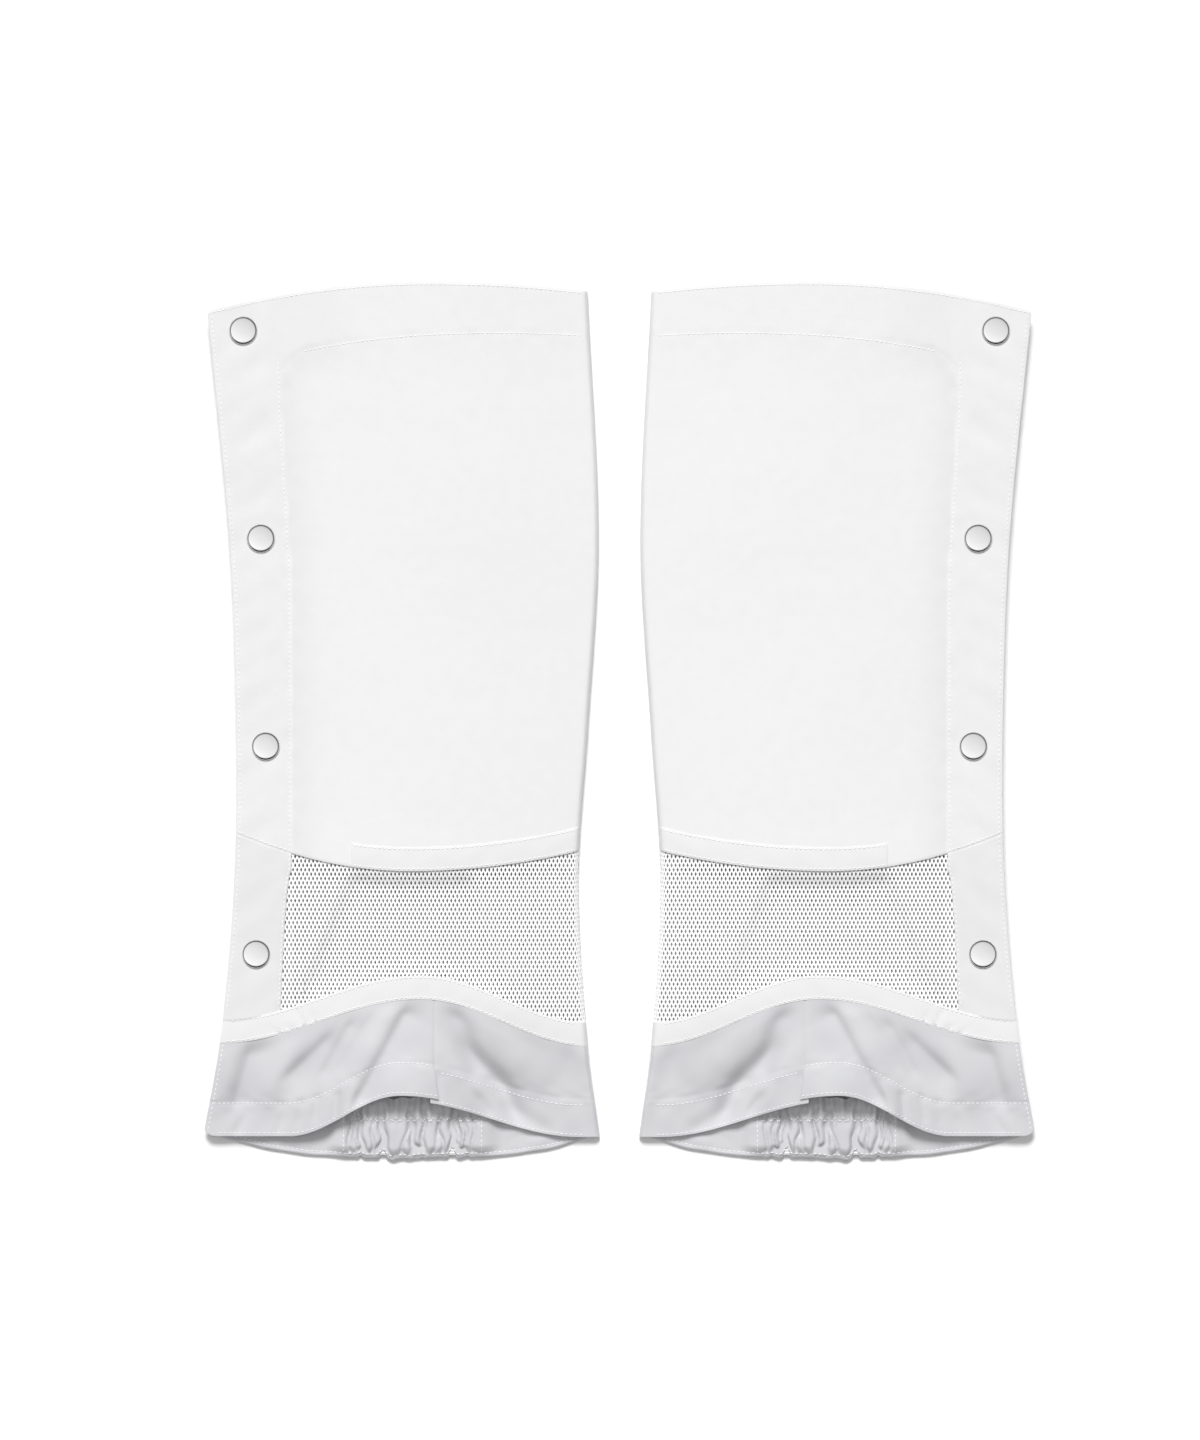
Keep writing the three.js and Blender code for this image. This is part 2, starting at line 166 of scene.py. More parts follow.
@dataclass(frozen=True)
class Plan:
    """Outline, seams and heights of one gaiter, in mm.

    The lengths along the leg and the calf's width are the driving sizes; the stations say how much wider the
    gaiter is there than at the calf and how far its inner side draws back from the neighbour.
    """

    hem_y: float
    crown: float
    front_z: float
    hinge_u: float
    fold_to_middle: float
    cuff_length: float = 80.5
    net_length: float = 64.0
    calf_width: float = 184.5
    band: float = 12.0
    back_inset: float = 1.5
    back_drop: float = 23.0
    curl: float = 2.6
    seam_z: float = 0.75
    facing_depth: float = 22.4
    facing_slope: float = 0.052
    # Two places (u, z) on the front's turn about its inner seam.
    seam_bend: tuple[tuple[float, float], tuple[float, float]] = ((20.9, 0.9), (23.8, 10.5))
    body_rise: float = 5.0
    hem_rise: float = 8.5
    hem_droop: float = 2.6
    fold_drop: float = 1.0
    corner: float = 6.0

    @classmethod
    def from_frame(cls) -> "Plan":
        """Read the driving places from the CAD's own boxes."""
        cuff_low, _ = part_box("right_back_cuff")
        _, panel_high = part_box("right_front_panel")
        flap_low, flap_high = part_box("right_flap_placket")
        hem_y = cuff_low.y / MM
        return cls(
            hem_y=hem_y, crown=panel_high.y / MM - hem_y, front_z=flap_high.z / MM, hinge_u=flap_low.x / MM,
            fold_to_middle=cuff_low.x / MM)

    @property
    def upper_y(self) -> float:
        """Height of the upper seam's sag."""
        return self.cuff_length + self.net_length

    @property
    def middle(self) -> float:
        """Middle of the gaiter's width."""
        return self.fold_to_middle + self.calf_width / 2

    @property
    def split_u(self) -> float:
        """Centre seam of the front cuff."""
        return self.middle - 10

    @property
    def join_u(self) -> float:
        """Where the front's cloth goes over into the flap's, short of the hinge line."""
        return self.hinge_u - 8

    def through(self, y: Field, values: tuple[float, ...]) -> Field:
        """Draw a smooth curve through one value for each station."""
        heights = np.array(
            [ 14, self.cuff_length - 20.5, self.upper_y - 4.5, self.upper_y + 70.5, self.upper_y + 165.5,
            self.crown - 5])
        v = np.array(values)
        slope = np.empty_like(v)
        slope[1:-1] = (v[2:] - v[:-2]) / (heights[2:] - heights[:-2])
        slope[0] = (v[1] - v[0]) / (heights[1] - heights[0])
        slope[-1] = (v[-1] - v[-2]) / (heights[-1] - heights[-2])
        i = np.clip(np.searchsorted(heights, y) - 1, 0, len(v) - 2)
        span = heights[i + 1] - heights[i]
        t = (y - heights[i]) / span
        k = np.clip(t, 0, 1)
        inside = (
            v[i] * (2 * k**3 - 3 * k**2 + 1)
            + slope[i] * span * (k**3 - 2 * k**2 + k)
            + v[i + 1] * (3 * k**2 - 2 * k**3)
            + slope[i + 1] * span * (k**3 - k**2)
        )
        return inside + span * np.where(t < 0, slope[i] * t, slope[i + 1] * np.maximum(t - 1, 0))

    def fold(self, y: Field) -> Field:
        """Inner side of the gaiter."""
        return self.fold_to_middle + self.through(y, (0, 5.9, 10.3, 5.6, 0.3, 5.8))

    def edge(self, y: Field) -> Field:
        """Outer edge of the front."""
        wider = self.through(y, (13, -1, -12.5, -8.7, 0, 6.5))
        return self.fold(y) + self.calf_width + wider

    def back_edge(self, y: Field) -> Field:
        """Outer edge of the back."""
        return self.edge(y) - self.back_inset

    def bow(self, u: Field, crest: float, at_fold: float, at_edge: float, y: float) -> Field:
        """Give how far a bowed run leaves its crest or sag."""
        inward = (crest - u) / (crest - self.fold(np.array(y)))
        outward = (u - crest) / (self.edge(np.array(y)) - crest)
        return np.where(u < crest, at_fold * inward**2, at_edge * outward**2)

    def wave(self, u: Field, crest: float, dips: tuple[float, float], reaches: tuple[float, float]) -> Field:
        """Give how far a waved run falls from its crest."""
        inward = np.clip((crest - u) / reaches[0], 0, 1)
        outward = np.clip((u - crest) / reaches[1], 0, 1)
        fall = dips[0] * (1 - np.cos(math.pi * inward)) + dips[1] * (1 - np.cos(math.pi * outward))
        return fall / 2

    def top_edge(self, u: Field) -> Field:
        """Top edge, with its outer corner rounded."""
        run = self.crown - self.bow(u, self.middle - 8, 4.5, 15, self.crown)
        return run - self.corner_cut(u, self.edge(run), 2.5)

    def corner_cut(self, u: Field, end: Field, radius: float) -> Field:
        """Give how far a round corner draws a run back near its end."""
        past = np.clip(u - end + radius, 0, radius)
        return radius - np.sqrt(radius**2 - past**2)

    def upper_seam(self, u: Field) -> Field:
        """Front seam between the net and the cotton."""
        return self.upper_y + self.bow(u, self.middle + 2, 10, 19.2, self.upper_y)

    def lower_seam(self, u: Field) -> Field:
        """Front seam between the cuff and the net."""
        return self.cuff_length - self.wave(u, self.middle - 3, (23.5, 22), (84, 100))

    def front_hem(self, u: Field) -> Field:
        """Front hem, with its outer corner rounded."""
        run = 32.5 - self.wave(u, self.middle + 7, (18.5, 20.5), (90, 56))
        return run + self.corner_cut(u, self.edge(run), self.corner)

    def back_upper_seam(self, u: Field) -> Field:
        """Back seam between the net and the cotton."""
        return self.upper_y + 0.1 * (u - self.fold(np.array(self.upper_y)))

    def back_lower_seam(self, u: Field) -> Field:
        """Back seam between the cuff and the net."""
        return constant(self.cuff_length - self.back_drop)(u)

    def back_hem(self, u: Field) -> Field:
        """Back hem."""
        crest = self.middle - 3
        inward = np.clip((crest - u) / (crest - self.fold_to_middle), 0, 1)
        outward = np.clip((u - crest) / (self.edge(np.array(0.0)) - crest), 0, 1)
        return 0.8 + 12.5 * inward**3 + 15.0 * outward**3

    def front_top(self, u: Field, y: Field) -> Field:
        """Height of the front's upper face."""
        fold = self.fold(y)
        across = np.clip((u - fold) / (self.hinge_u - fold), 0, 1)
        height = self.cuff_length - 32.5
        hem = smooth((self.cuff_length - y) / height)
        droop = self.hem_droop * smooth((self.lower_seam(u) - y) / height)
        arch = np.sin(math.pi * across)
        mouth = np.exp(-(((u - self.middle - 7) / 36) ** 2))
        base = self.front_z - self.fold_drop * (1 - across) - droop * (1 - mouth)
        return base + mix(self.body_rise * arch, self.hem_rise * mouth, hem)

    def curl_length(self) -> float:
        """Cloth in the quarter turn from the front's face down to the inner seam."""
        drop = self.front_z - self.fold_drop - self.seam_z
        return math.pi / 2 * math.sqrt((self.curl**2 + drop**2) / 2)

    def front_start(self, y: Field) -> Field:
        """Flat place of the front's inner seam, once its turn is laid out."""
        return self.fold(y) + self.curl - self.curl_length()

    def hang_front(self, w: Field, y: Field) -> tuple[Field, Field]:
        """Turn a flat place on the front into its u and z."""
        turn_u = self.fold(y) + self.curl
        phi = np.clip((turn_u - w) / self.curl_length(), 0, 1) * math.pi / 2
        u = np.maximum(w, turn_u) - self.curl * np.sin(phi)
        top = self.front_top(np.maximum(w, turn_u), y)
        return u, top - (top - self.seam_z) * (1 - np.cos(phi))

    def hang_flap(self, w: Field, y: Field) -> tuple[Field, Field]:
        """Turn a flat place on the flap into its u and z, drooping a little at the free edge."""
        past = np.clip((w - self.edge(y) + 4) / 4, 0, 1)
        return w, self.front_top(w, y) - 0.5 * past**2

    def flat(self, z: float) -> Hang:
        """Lay cloth level with its upper face at a height."""
        return lambda w, y: (w, np.full_like(w, z))

    def facing_edge(self, y: Field) -> Field:
        """Inner line of the placket's facing, from the lower seam to the top."""
        above = (y - self.upper_y) / (self.crown - self.upper_y)
        below = (self.upper_y - y) / self.net_length
        return self.hinge_u - 1.8 + 5.4 * smooth((above - 0.45) / 0.4) + 5.2 * np.sqrt(np.maximum(below, 0))

    def facing_inside(self, u: Field, y: Field) -> Field:
        """Give how far inside the facing a place is.

        The facing is the placket joined to the top hem, with a round inner corner. Outside it the distance is
        negative.
        """
        radius = 15.0
        hem_depth = self.facing_depth + self.facing_slope * (u - self.fold_to_middle)
        right = u - self.facing_edge(y) + radius
        up = y - self.top_edge(u) + hem_depth + radius
        outside = np.hypot(np.maximum(right, 0), np.maximum(up, 0))
        return outside + np.minimum(np.maximum(right, up), 0) - radius


# ---------------------------------------------------------------------------------------------------------
# Making pieces


@dataclass(frozen=True)
class Cut:
    """The flat outline of a piece between two runs along the leg and two across it.

    Its mesh lines stand closer towards `low` when crowd is above 1, and towards `high` when it is below.
    """

    low: Run
    high: Run
    bottom: Run
    top: Run
    crowd: float = 1.0

    def places(self, s: Field, t: Field) -> tuple[Field, Field]:
        """Spread 0..1 shares across and along the cut over its flat places."""
        s = s**self.crowd if self.crowd >= 1 else 1 - (1 - s) ** (1 / self.crowd)
        w = mix(self.low(np.zeros_like(s)), self.high(np.zeros_like(s)), s)
        y = mix(self.bottom(w), self.top(w), t)
        for _ in range(6):
            w = mix(self.low(y), self.high(y), s)
            y = mix(self.bottom(w), self.top(w), t)
        return w, y

    def area(self) -> float:
        """Flat area in square metres."""
        s, t = np.meshgrid(np.linspace(0, 1, 41), np.linspace(0, 1, 41))
        w, y = self.places(s, t)
        across = np.stack([w[1:, 1:] - w[:-1, :-1], y[1:, 1:] - y[:-1, :-1]])
        down = np.stack([w[1:, :-1] - w[:-1, 1:], y[1:, :-1] - y[:-1, 1:]])
        return float(np.abs(across[0] * down[1] - across[1] * down[0]).sum() / 2 * MM * MM)

    def size(self) -> tuple[float, float]:
        """Flat width and length in metres."""
        s, t = np.meshgrid(np.linspace(0, 1, 21), np.linspace(0, 1, 21))
        w, y = self.places(s, t)
        return float(np.ptp(w)) * MM, float(np.ptp(y)) * MM


def no_relief(u: Field, y: Field) -> Field:
    """Leave the cloth as it hangs."""
    return np.zeros_like(u)


def constant_relief(height: float) -> Relief:
    """Make a relief that is the same everywhere."""
    return lambda u, y: np.full_like(u, height)


def stack(*reliefs: Relief) -> Relief:
    """Add reliefs together."""
    return lambda u, y: sum((relief(u, y) for relief in reliefs), np.zeros_like(u))


def creased(*creases: Crease) -> Relief:
    """Make a relief of creases."""
    return lambda u, y: sum((crease.lift(u, y) for crease in creases), np.zeros_like(u))


@dataclass
class Workshop:
    """Makes the pieces of one gaiter and keeps their finishes.

    Args:
        side: The gaiter.
        plan: Its shape.
        finishes: The finished materials by the record's slot, and the threads.
        batch: How many stitches are made at a time.
    """

    side: Side
    plan: Plan
    finishes: dict[str, bpy.types.Material]
    batch: int = 80

    def metres(self, u: Field, y: Field, z: Field) -> Field:
        """Turn places on the plan into points of the frame, one row each."""
        return np.stack([self.side.value * u, y + self.plan.hem_y, z], axis=-1) * MM

    def publish(self, bm: bmesh.types.BMesh, name: str, finish: str) -> bpy.types.Object:
        """Make an object of a finished bmesh and give it its material.

        Args:
            bm: The bmesh, which is freed.
            name: The piece's name without its side.
            finish: The material's key.

        Returns:
            The object, at the origin.
        """
        mesh = bpy.data.meshes.new(self.side.name_of(name))
        bm.to_mesh(mesh)
        bm.free()
        mesh.polygons.foreach_set("use_smooth", [True] * len(mesh.polygons))
        mesh.set_sharp_from_angle(angle=math.radians(50))
        mesh.materials.append(self.finishes[finish])
        piece = bpy.data.objects.new(mesh.name, mesh)
        bpy.context.scene.collection.objects.link(piece)
        return piece

    def hold(self, piece: bpy.types.Object, hold: Hold, finish: str, nodes: tuple[str, ...] = ()) -> None:
        """Join a piece that goes with one body to it, leave one that lies between two where it is, and hide
        the CAD nodes it stands for.
        """
        first, second = (self.side.name_of(body) for body in hold.value)
        if hold is Hold.SEAM:
            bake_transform(piece)
        elif hold is Hold.PLACKET:
            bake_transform(piece)
        else:
            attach(piece, first)
        if nodes:
            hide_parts(*(self.side.name_of(node) for node in nodes))
        movers = " and ".join(hold.value)
        log.info("%s: %d faces, moves with %s", piece.name, len(piece.data.polygons), movers)

    def sheet(
        self,
        name: str,
        finish: str,
        cut: Cut,
        hang: Hang,
        hold: Hold,
        nodes: tuple[str, ...] = (),
        relief: Relief = no_relief,
        thickness: float = 0.6,
        step: float = 2.0,
        held: str = "laid",
        shade: Relief = no_relief,
    ) -> bpy.types.Object:
        """Args:
            name: The piece's name without its side.
            finish: The material's key.
            cut: Its flat outline.
            hang: Where each flat place lies.
            hold: What it moves with.
            nodes: CAD nodes that it stands for.
            relief: What wrinkles and seams add to its height.
            thickness: In mm, downward from the upper face.
            step: Distance between its mesh lines, in mm.
            shade: How much darker the cloth is drawn, from 0 to 1; it carries painted shade.

        Returns:
            The finished piece.
        """
        width, length = cut.size()
        columns, rows = (max(2, round(extent / MM / step)) for extent in (width, length))
        bm = bmesh.new()
        bmesh.ops.create_grid(bm, x_segments=columns, y_segments=rows, size=0.5)
        shares = np.array([v.co[:2] for v in bm.verts]) + 0.5
        w, y = cut.places(shares[:, 0], shares[:, 1])
        u, z = hang(w, y)
        points = self.metres(u, y, z + relief(w, y))
        flat = np.stack([w, y], axis=-1) * MM
        layer = bm.loops.layers.uv.new("cloth")
        # Per-place amount of painted shade, read by the cotton's material as the shade attribute.
        grey = bm.verts.layers.float.new("shade")
        for vert, point, tone in zip(bm.verts, points, shade(w, y)):
            vert.co = point
            vert[grey] = tone
        for face in bm.faces:
            for loop in face.loops:
                loop[layer].uv = flat[loop.vert.index]
        if self.side is Side.LEFT:
            bmesh.ops.reverse_faces(bm, faces=bm.faces)
        self.thicken(bm, thickness, rim=0.3 * thickness)
        piece = self.publish(bm, name, finish)
        self.hold(piece, hold, finish, nodes)
        min(cut.area(), width * length)
        return piece

    def thicken(self, bm: bmesh.types.BMesh, thickness: float, rim: float = 0.0) -> None:
        """Give a sheet its thickness below its faces, and round its rim but for the join to the flap."""
        bm.normal_update()
        bmesh.ops.solidify(bm, geom=bm.faces[:], thickness=thickness * MM)
        bm.normal_update()
        if rim:
            join = self.plan.join_u * MM
            sharp = [
                e
                for e in bm.edges
                if e.is_manifold
                and e.calc_face_angle() > 1.2
                and max(abs(abs(v.co.x) - join) for v in e.verts) > 0.02 * MM
            ]
            bmesh.ops.bevel(
                bm, geom=sharp, offset=rim * MM, offset_type="OFFSET", segments=2, profile=0.5,
                affect="EDGES", material=-1, clamp_overlap=True)

    def net(
        self,
        name: str,
        cut: Cut,
        hang: Hang,
        hold: Hold,
        nodes: tuple[str, ...] = (),
        relief: Relief = no_relief,
        selvedges: tuple[bool, bool] = (True, True),
        phase: tuple[float, float] = (0.0, 0.0),
        mesh_size: tuple[float, float] = (2.0, 4.4),
        yarn: float = 0.78,
    ) -> bpy.types.Object:
        """Args:
            name: The piece's name without its side.
            cut: Its flat outline.
            hang: Where each flat place lies.
            hold: What it moves with.
            nodes: CAD nodes that it stands for.
            relief: What it adds to its height.
            selvedges: Whether its inner and its outer side are drawn straight.
            phase: Where one of its knots lies, in mm.
            mesh_size: A diamond's width and height, in mm.
            yarn: Width of the yarn between two holes, in mm.

        Returns:
            The finished net.
        """
        half = np.array(mesh_size) / 2
        s, t = np.meshgrid(np.linspace(0, 1, 21), np.linspace(0, 1, 21))
        w, y = cut.places(s, t)
        sums, gaps = (w / half[0] + y / half[1]) / 2, (y / half[1] - w / half[0]) / 2
        low = np.floor([sums.min() - 1, gaps.min() - 1]).astype(int)
        high = np.ceil([sums.max() + 1, gaps.max() + 1]).astype(int)
        bm = bmesh.new()
        spans = high - low
        bmesh.ops.create_grid(bm, x_segments=int(spans[0]), y_segments=int(spans[1]), size=0.5)
        for vert in bm.verts:
            a, b = (np.array(vert.co[:2]) + 0.5) * spans + low
            vert.co = ((a - b) * half[0] + phase[0], (a + b) * half[1] + phase[1], 0)
        centres = np.array([face.calc_center_median()[:2] for face in bm.faces])
        w, y = centres[:, 0], centres[:, 1]
        kept = (w >= cut.low(y)) & (w < cut.high(y)) & (y > cut.bottom(w)) & (y < cut.top(w))
        lost = [face for face, keep in zip(bm.faces[:], kept) if not keep]
        bmesh.ops.delete(bm, geom=lost, context="FACES")
        flat = np.array([vert.co[:2] for vert in bm.verts])
        starts, ends = cut.low(flat[:, 1]), cut.high(flat[:, 1])
        for bound, spare in ((starts, selvedges[0]), (ends, selvedges[1])):
            if spare:
                near = np.abs(flat[:, 0] - bound) < half[0]
                flat[:, 0] = np.where(near, bound, flat[:, 0])
        for vert, place in zip(bm.verts, flat):
            vert.co = (*place, 0)
        holes = bm.faces[:]
        bmesh.ops.inset_individual(bm, faces=holes, thickness=yarn / 2, use_even_offset=True)
        bmesh.ops.delete(bm, geom=holes, context="FACES")
        flat = np.array([vert.co[:2] for vert in bm.verts])
        u, z = hang(flat[:, 0], flat[:, 1])
        for vert, point in zip(bm.verts, self.metres(u, flat[:, 1], z + relief(flat[:, 0], flat[:, 1]))):
            vert.co = point
        if self.side is Side.LEFT:
            bmesh.ops.reverse_faces(bm, faces=bm.faces)
        self.thicken(bm, 0.55)
        piece = self.publish(bm, name, "net")
        self.hold(piece, hold, "net", nodes)
        width, length = cut.size()
        min(cut.area(), width * length)
        return piece

    def stitches(
        self,
        name: str,
        paths: list[tuple[Field, Field]],
        hang: Hang,
        hold: Hold,
        relief: Relief = no_relief,
        finish: str = "thread",
        pitch: float = 2.4,
        length: float = 1.6,
        thread: float = 0.52,
    ) -> bpy.types.Object:
        """Sew rows of stitches along paths on a hung sheet.

        Args:
            name: The piece's name without its side.
            paths: Flat places (w, y) along each row.
            hang: Where each flat place lies.
            hold: What the rows move with.
            relief: The cloth's relief under them.
            finish: The thread's material key.
            pitch: From one stitch to the next, in mm.
            length: Of a stitch, in mm.
            thread: The thread's width, in mm.

        Returns:
            All rows as one piece.
        """
        places = []
        for w, y in paths:
            u, z = hang(w, y)
            points = self.metres(u, y, z + relief(w, y) + 0.1 * thread)
            run = np.concatenate([[0], np.cumsum(np.linalg.norm(np.diff(points, axis=0), axis=1))])
            count = max(1, int(run[-1] / (pitch * MM)))
            middles = (np.arange(count) + 0.5) * run[-1] / count
            ends = [
                np.stack([np.interp(middles + half * length * MM, run, points[:, k]) for k in range(3)],
                -1) for half in (-0.5, 0.5)]
            for start, end in zip(*ends):
                way = Vector(end - start)
                turn = way.to_track_quat("X", "Z").to_matrix().to_4x4()
                size = Matrix.Diagonal((way.length, thread * MM, 0.8 * thread * MM, 1))
                places.append(Matrix.Translation((start + end) / 2) @ turn @ size)
        bm = bmesh.new()
        for first in range(0, len(places), self.batch):
            few = bmesh.new()
            for place in places[first : first + self.batch]:
                bmesh.ops.create_uvsphere(few, u_segments=6, v_segments=4, radius=0.5, matrix=place)
            mesh = bpy.data.meshes.new("stitches")
            few.to_mesh(mesh)
            few.free()
            bm.from_mesh(mesh)
            bpy.data.meshes.remove(mesh)
        piece = self.publish(bm, name, finish)
        self.hold(piece, hold, finish)
        return piece

    def turned(
        self, name: str, finish: str, centre: tuple[float, float], profile: list[tuple[float, float]]
    ) -> bpy.types.Object:
        """Spin a profile of (radius, height) about the upright through a centre.

        Args:
            name: The piece's name without its side.
            finish: The material's key.
            centre: Where it stands, as (u, y).
            profile: Upwards round the outside; it starts and ends on the axis, or closes on itself.

        Returns:
            The turned piece, not yet held.
        """
        bm = bmesh.new()
        middle = Vector(self.metres(np.array(centre[0]), np.array(centre[1]), np.array(0.0)))
        ring = [bm.verts.new(middle + Vector((radius, 0, z)) * MM) for radius, z in profile]
        wire = [bm.edges.new(pair) for pair in zip(ring, ring[1:])]
        bmesh.ops.spin(
            bm, geom=ring + wire, cent=middle, axis=(0, 0, 1), angle=math.tau, steps=48, use_merge=True)
        bmesh.ops.remove_doubles(bm, verts=bm.verts, dist=1e-6)
        bmesh.ops.recalc_face_normals(bm, faces=bm.faces)
        return self.publish(bm, name, finish)


# ---------------------------------------------------------------------------------------------------------
# Finishes


def linear(colour: str) -> tuple[float, float, float, float]:
    """Turn an sRGB hex colour into linear RGBA."""
    parts = [int(colour[i : i + 2], 16) / 255 for i in (1, 3, 5)]
    return (*(c / 12.92 if c <= 0.04045 else ((c + 0.055) / 1.055) ** 2.4 for c in parts), 1.0)


def add(tree: bpy.types.NodeTree, kind: str, inputs: dict | None = None, **settings) -> bpy.types.Node:
    """Add a node to a tree.

    Args:
        tree: The material's node tree.
        kind: The node's type name.
        inputs: Values or sockets for its inputs, by name or number.
        settings: Its own properties.

    Returns:
        The node.
    """
    node = tree.nodes.new(kind)
    for key, value in settings.items():
        setattr(node, key, value)
    for key, value in (inputs or {}).items():
        if isinstance(value, bpy.types.NodeSocket):
            tree.links.new(value, node.inputs[key])
        else:
            node.inputs[key].default_value = value
    return node


def waves_per_metre(spacing_mm: float) -> float:
    """Scale of a wave texture whose bands repeat at a spacing."""
    return math.tau / 20 / (spacing_mm * MM)


@dataclass(frozen=True)
class Finish:
    """A material made from its real colour and surface."""

    name: str
    colour: str
    roughness: float

    def start(self) -> tuple[bpy.types.Material, bpy.types.NodeTree, bpy.types.Node]:
        """Make the empty material with its shader."""
        material = bpy.data.materials.new(self.name)
        material.use_nodes = True
        tree = material.node_tree
        shader = tree.nodes["Principled BSDF"]
        shader.inputs["Base Color"].default_value = linear(self.colour)
        shader.inputs["Roughness"].default_value = self.roughness
        return material, tree, shader


@dataclass(frozen=True)
class WovenCotton(Finish):
    """Plain-woven bleached cotton: matt, with a fine even weave and slightly uneven threads.

    The weave is 24 threads to the centimetre, drawn at its real size; the slubs are its unevenness.
    """

    thread_mm: float = 0.42
    slub_mm: float = 7.0
    shade: str = "#E0E0E0"
    # How much of the colour the painted shade takes away at its darkest.
    painted_shade_strength: float = 0.075

    def build(self) -> bpy.types.Material:
        """Build the weave, the slubs, the painted shade and the soft nap."""
        material, tree, shader = self.start()
        uv = add(tree, "ShaderNodeUVMap", uv_map="cloth").outputs["UV"]
        threads = [
            add( tree, "ShaderNodeTexWave", {"Vector": uv, "Scale": waves_per_metre(self.thread_mm),
            "Distortion": 0.0}, bands_direction=direction) for direction in ("X", "Y")]
        weave = add(
            tree, "ShaderNodeMath", {0: threads[0].outputs["Fac"], 1: threads[1].outputs["Fac"]},
            operation="MULTIPLY")
        slubs = add(
            tree, "ShaderNodeTexNoise", {"Vector": uv, "Scale": 1 / (self.slub_mm * MM), "Detail": 4.0})
        tone = add(
            tree, "ShaderNodeMix",
            {"Factor": slubs.outputs["Fac"], "A": linear(self.colour), "B": linear(self.shade)},
            data_type="RGBA")
        # Painted shade: the mesh's shade attribute darkens the base colour a little towards black.
        shade = add(tree, "ShaderNodeAttribute", attribute_name="shade").outputs["Fac"]
        painted_shade_amount = add(tree, "ShaderNodeMath", {0: shade, 1: self.painted_shade_strength}, operation="MULTIPLY")
        greyed = add(
            tree, "ShaderNodeMix",
            {"Factor": painted_shade_amount.outputs["Value"], "A": tone.outputs["Result"], "B": (0.0, 0.0, 0.0, 1.0)},
            data_type="RGBA")
        tree.links.new(greyed.outputs["Result"], shader.inputs["Base Color"])
        fine = add(
            tree, "ShaderNodeBump",
            {"Height": weave.outputs["Value"], "Strength": 0.25, "Distance": 0.1 * MM})
        coarse = add(
            tree, "ShaderNodeBump", { "Height": slubs.outputs["Fac"], "Normal": fine.outputs["Normal"],
            "Strength": 0.3, "Distance": 0.25 * MM, })
        tree.links.new(coarse.outputs["Normal"], shader.inputs["Normal"])
        shader.inputs["Sheen Weight"].default_value = 0.15
        shader.inputs["Sheen Roughness"].default_value = 0.6
        shader.inputs["Specular IOR Level"].default_value = 0.25
        return material


@dataclass(frozen=True)
class TwillTape(Finish):
    """Herringbone cotton tape: a little brighter and closer than the cloth, with slanted ribs."""

    rib_mm: float = 0.9

    def build(self) -> bpy.types.Material:
        """Build the slanted ribs and the soft nap."""
        material, tree, shader = self.start()
        uv = add(tree, "ShaderNodeUVMap", uv_map="cloth").outputs["UV"]
        ribs = add(
            tree, "ShaderNodeTexWave",
            {"Vector": uv, "Scale": waves_per_metre(self.rib_mm), "Distortion": 0.6, "Detail": 2.0},
            bands_direction="DIAGONAL")
        bump = add(
            tree, "ShaderNodeBump", {"Height": ribs.outputs["Fac"], "Strength": 0.2, "Distance": 0.15 * MM})
        tree.links.new(bump.outputs["Normal"], shader.inputs["Normal"])
        shader.inputs["Sheen Weight"].default_value = 0.1
        shader.inputs["Specular IOR Level"].default_value = 0.25
        return material


@dataclass(frozen=True)
class KnittedNet(Finish):
    """Polyester warp-knit net: smooth white yarn that is slightly bright where it turns."""

    loop_mm: float = 0.5

    def build(self) -> bpy.types.Material:
        """Build the yarn's small loops."""
        material, tree, shader = self.start()
        place = add(tree, "ShaderNodeTexCoord").outputs["Object"]
        loops = add(
            tree, "ShaderNodeTexVoronoi", {"Vector": place, "Scale": 1 / (self.loop_mm * MM)},
            feature="SMOOTH_F1")
        bump = add(
            tree, "ShaderNodeBump",
            {"Height": loops.outputs["Distance"], "Strength": 0.35, "Distance": 0.12 * MM})
        tree.links.new(bump.outputs["Normal"], shader.inputs["Normal"])
        shader.inputs["Sheen Weight"].default_value = 0.2
        return material


@dataclass(frozen=True)
class CuffSatin(Finish):
    """Polyester satin: a cool silvery white whose long floats give a soft directional gloss.

    The floats are about 0.2 mm wide, too fine to show, so they are drawn 0.5 mm wide.
    """

    float_mm: float = 0.5
    shade: str = "#BFBFC3"

    def build(self) -> bpy.types.Material:
        """Build the floats, the slow change of tone and the gloss."""
        material, tree, shader = self.start()
        uv = add(tree, "ShaderNodeUVMap", uv_map="cloth").outputs["UV"]
        stretched = add(tree, "ShaderNodeMapping", {"Vector": uv, "Scale": (1.0, 0.08, 1.0)})
        floats = add(
            tree, "ShaderNodeTexNoise",
            {"Vector": stretched.outputs["Vector"], "Scale": 1 / (self.float_mm * MM), "Detail": 2.0})
        clouds = add(tree, "ShaderNodeTexNoise", {"Vector": uv, "Scale": 1 / (22 * MM), "Detail": 1.0})
        tone = add(
            tree, "ShaderNodeMix",
            {"Factor": clouds.outputs["Fac"], "A": linear(self.colour), "B": linear(self.shade)},
            data_type="RGBA")
        tree.links.new(tone.outputs["Result"], shader.inputs["Base Color"])
        bump = add(
            tree, "ShaderNodeBump",
            {"Height": floats.outputs["Fac"], "Strength": 0.18, "Distance": 0.1 * MM})
        tree.links.new(bump.outputs["Normal"], shader.inputs["Normal"])
        shader.inputs["Sheen Weight"].default_value = 0.25
        shader.inputs["Sheen Roughness"].default_value = 0.35
        shader.inputs["Anisotropic"].default_value = 0.4
        return material


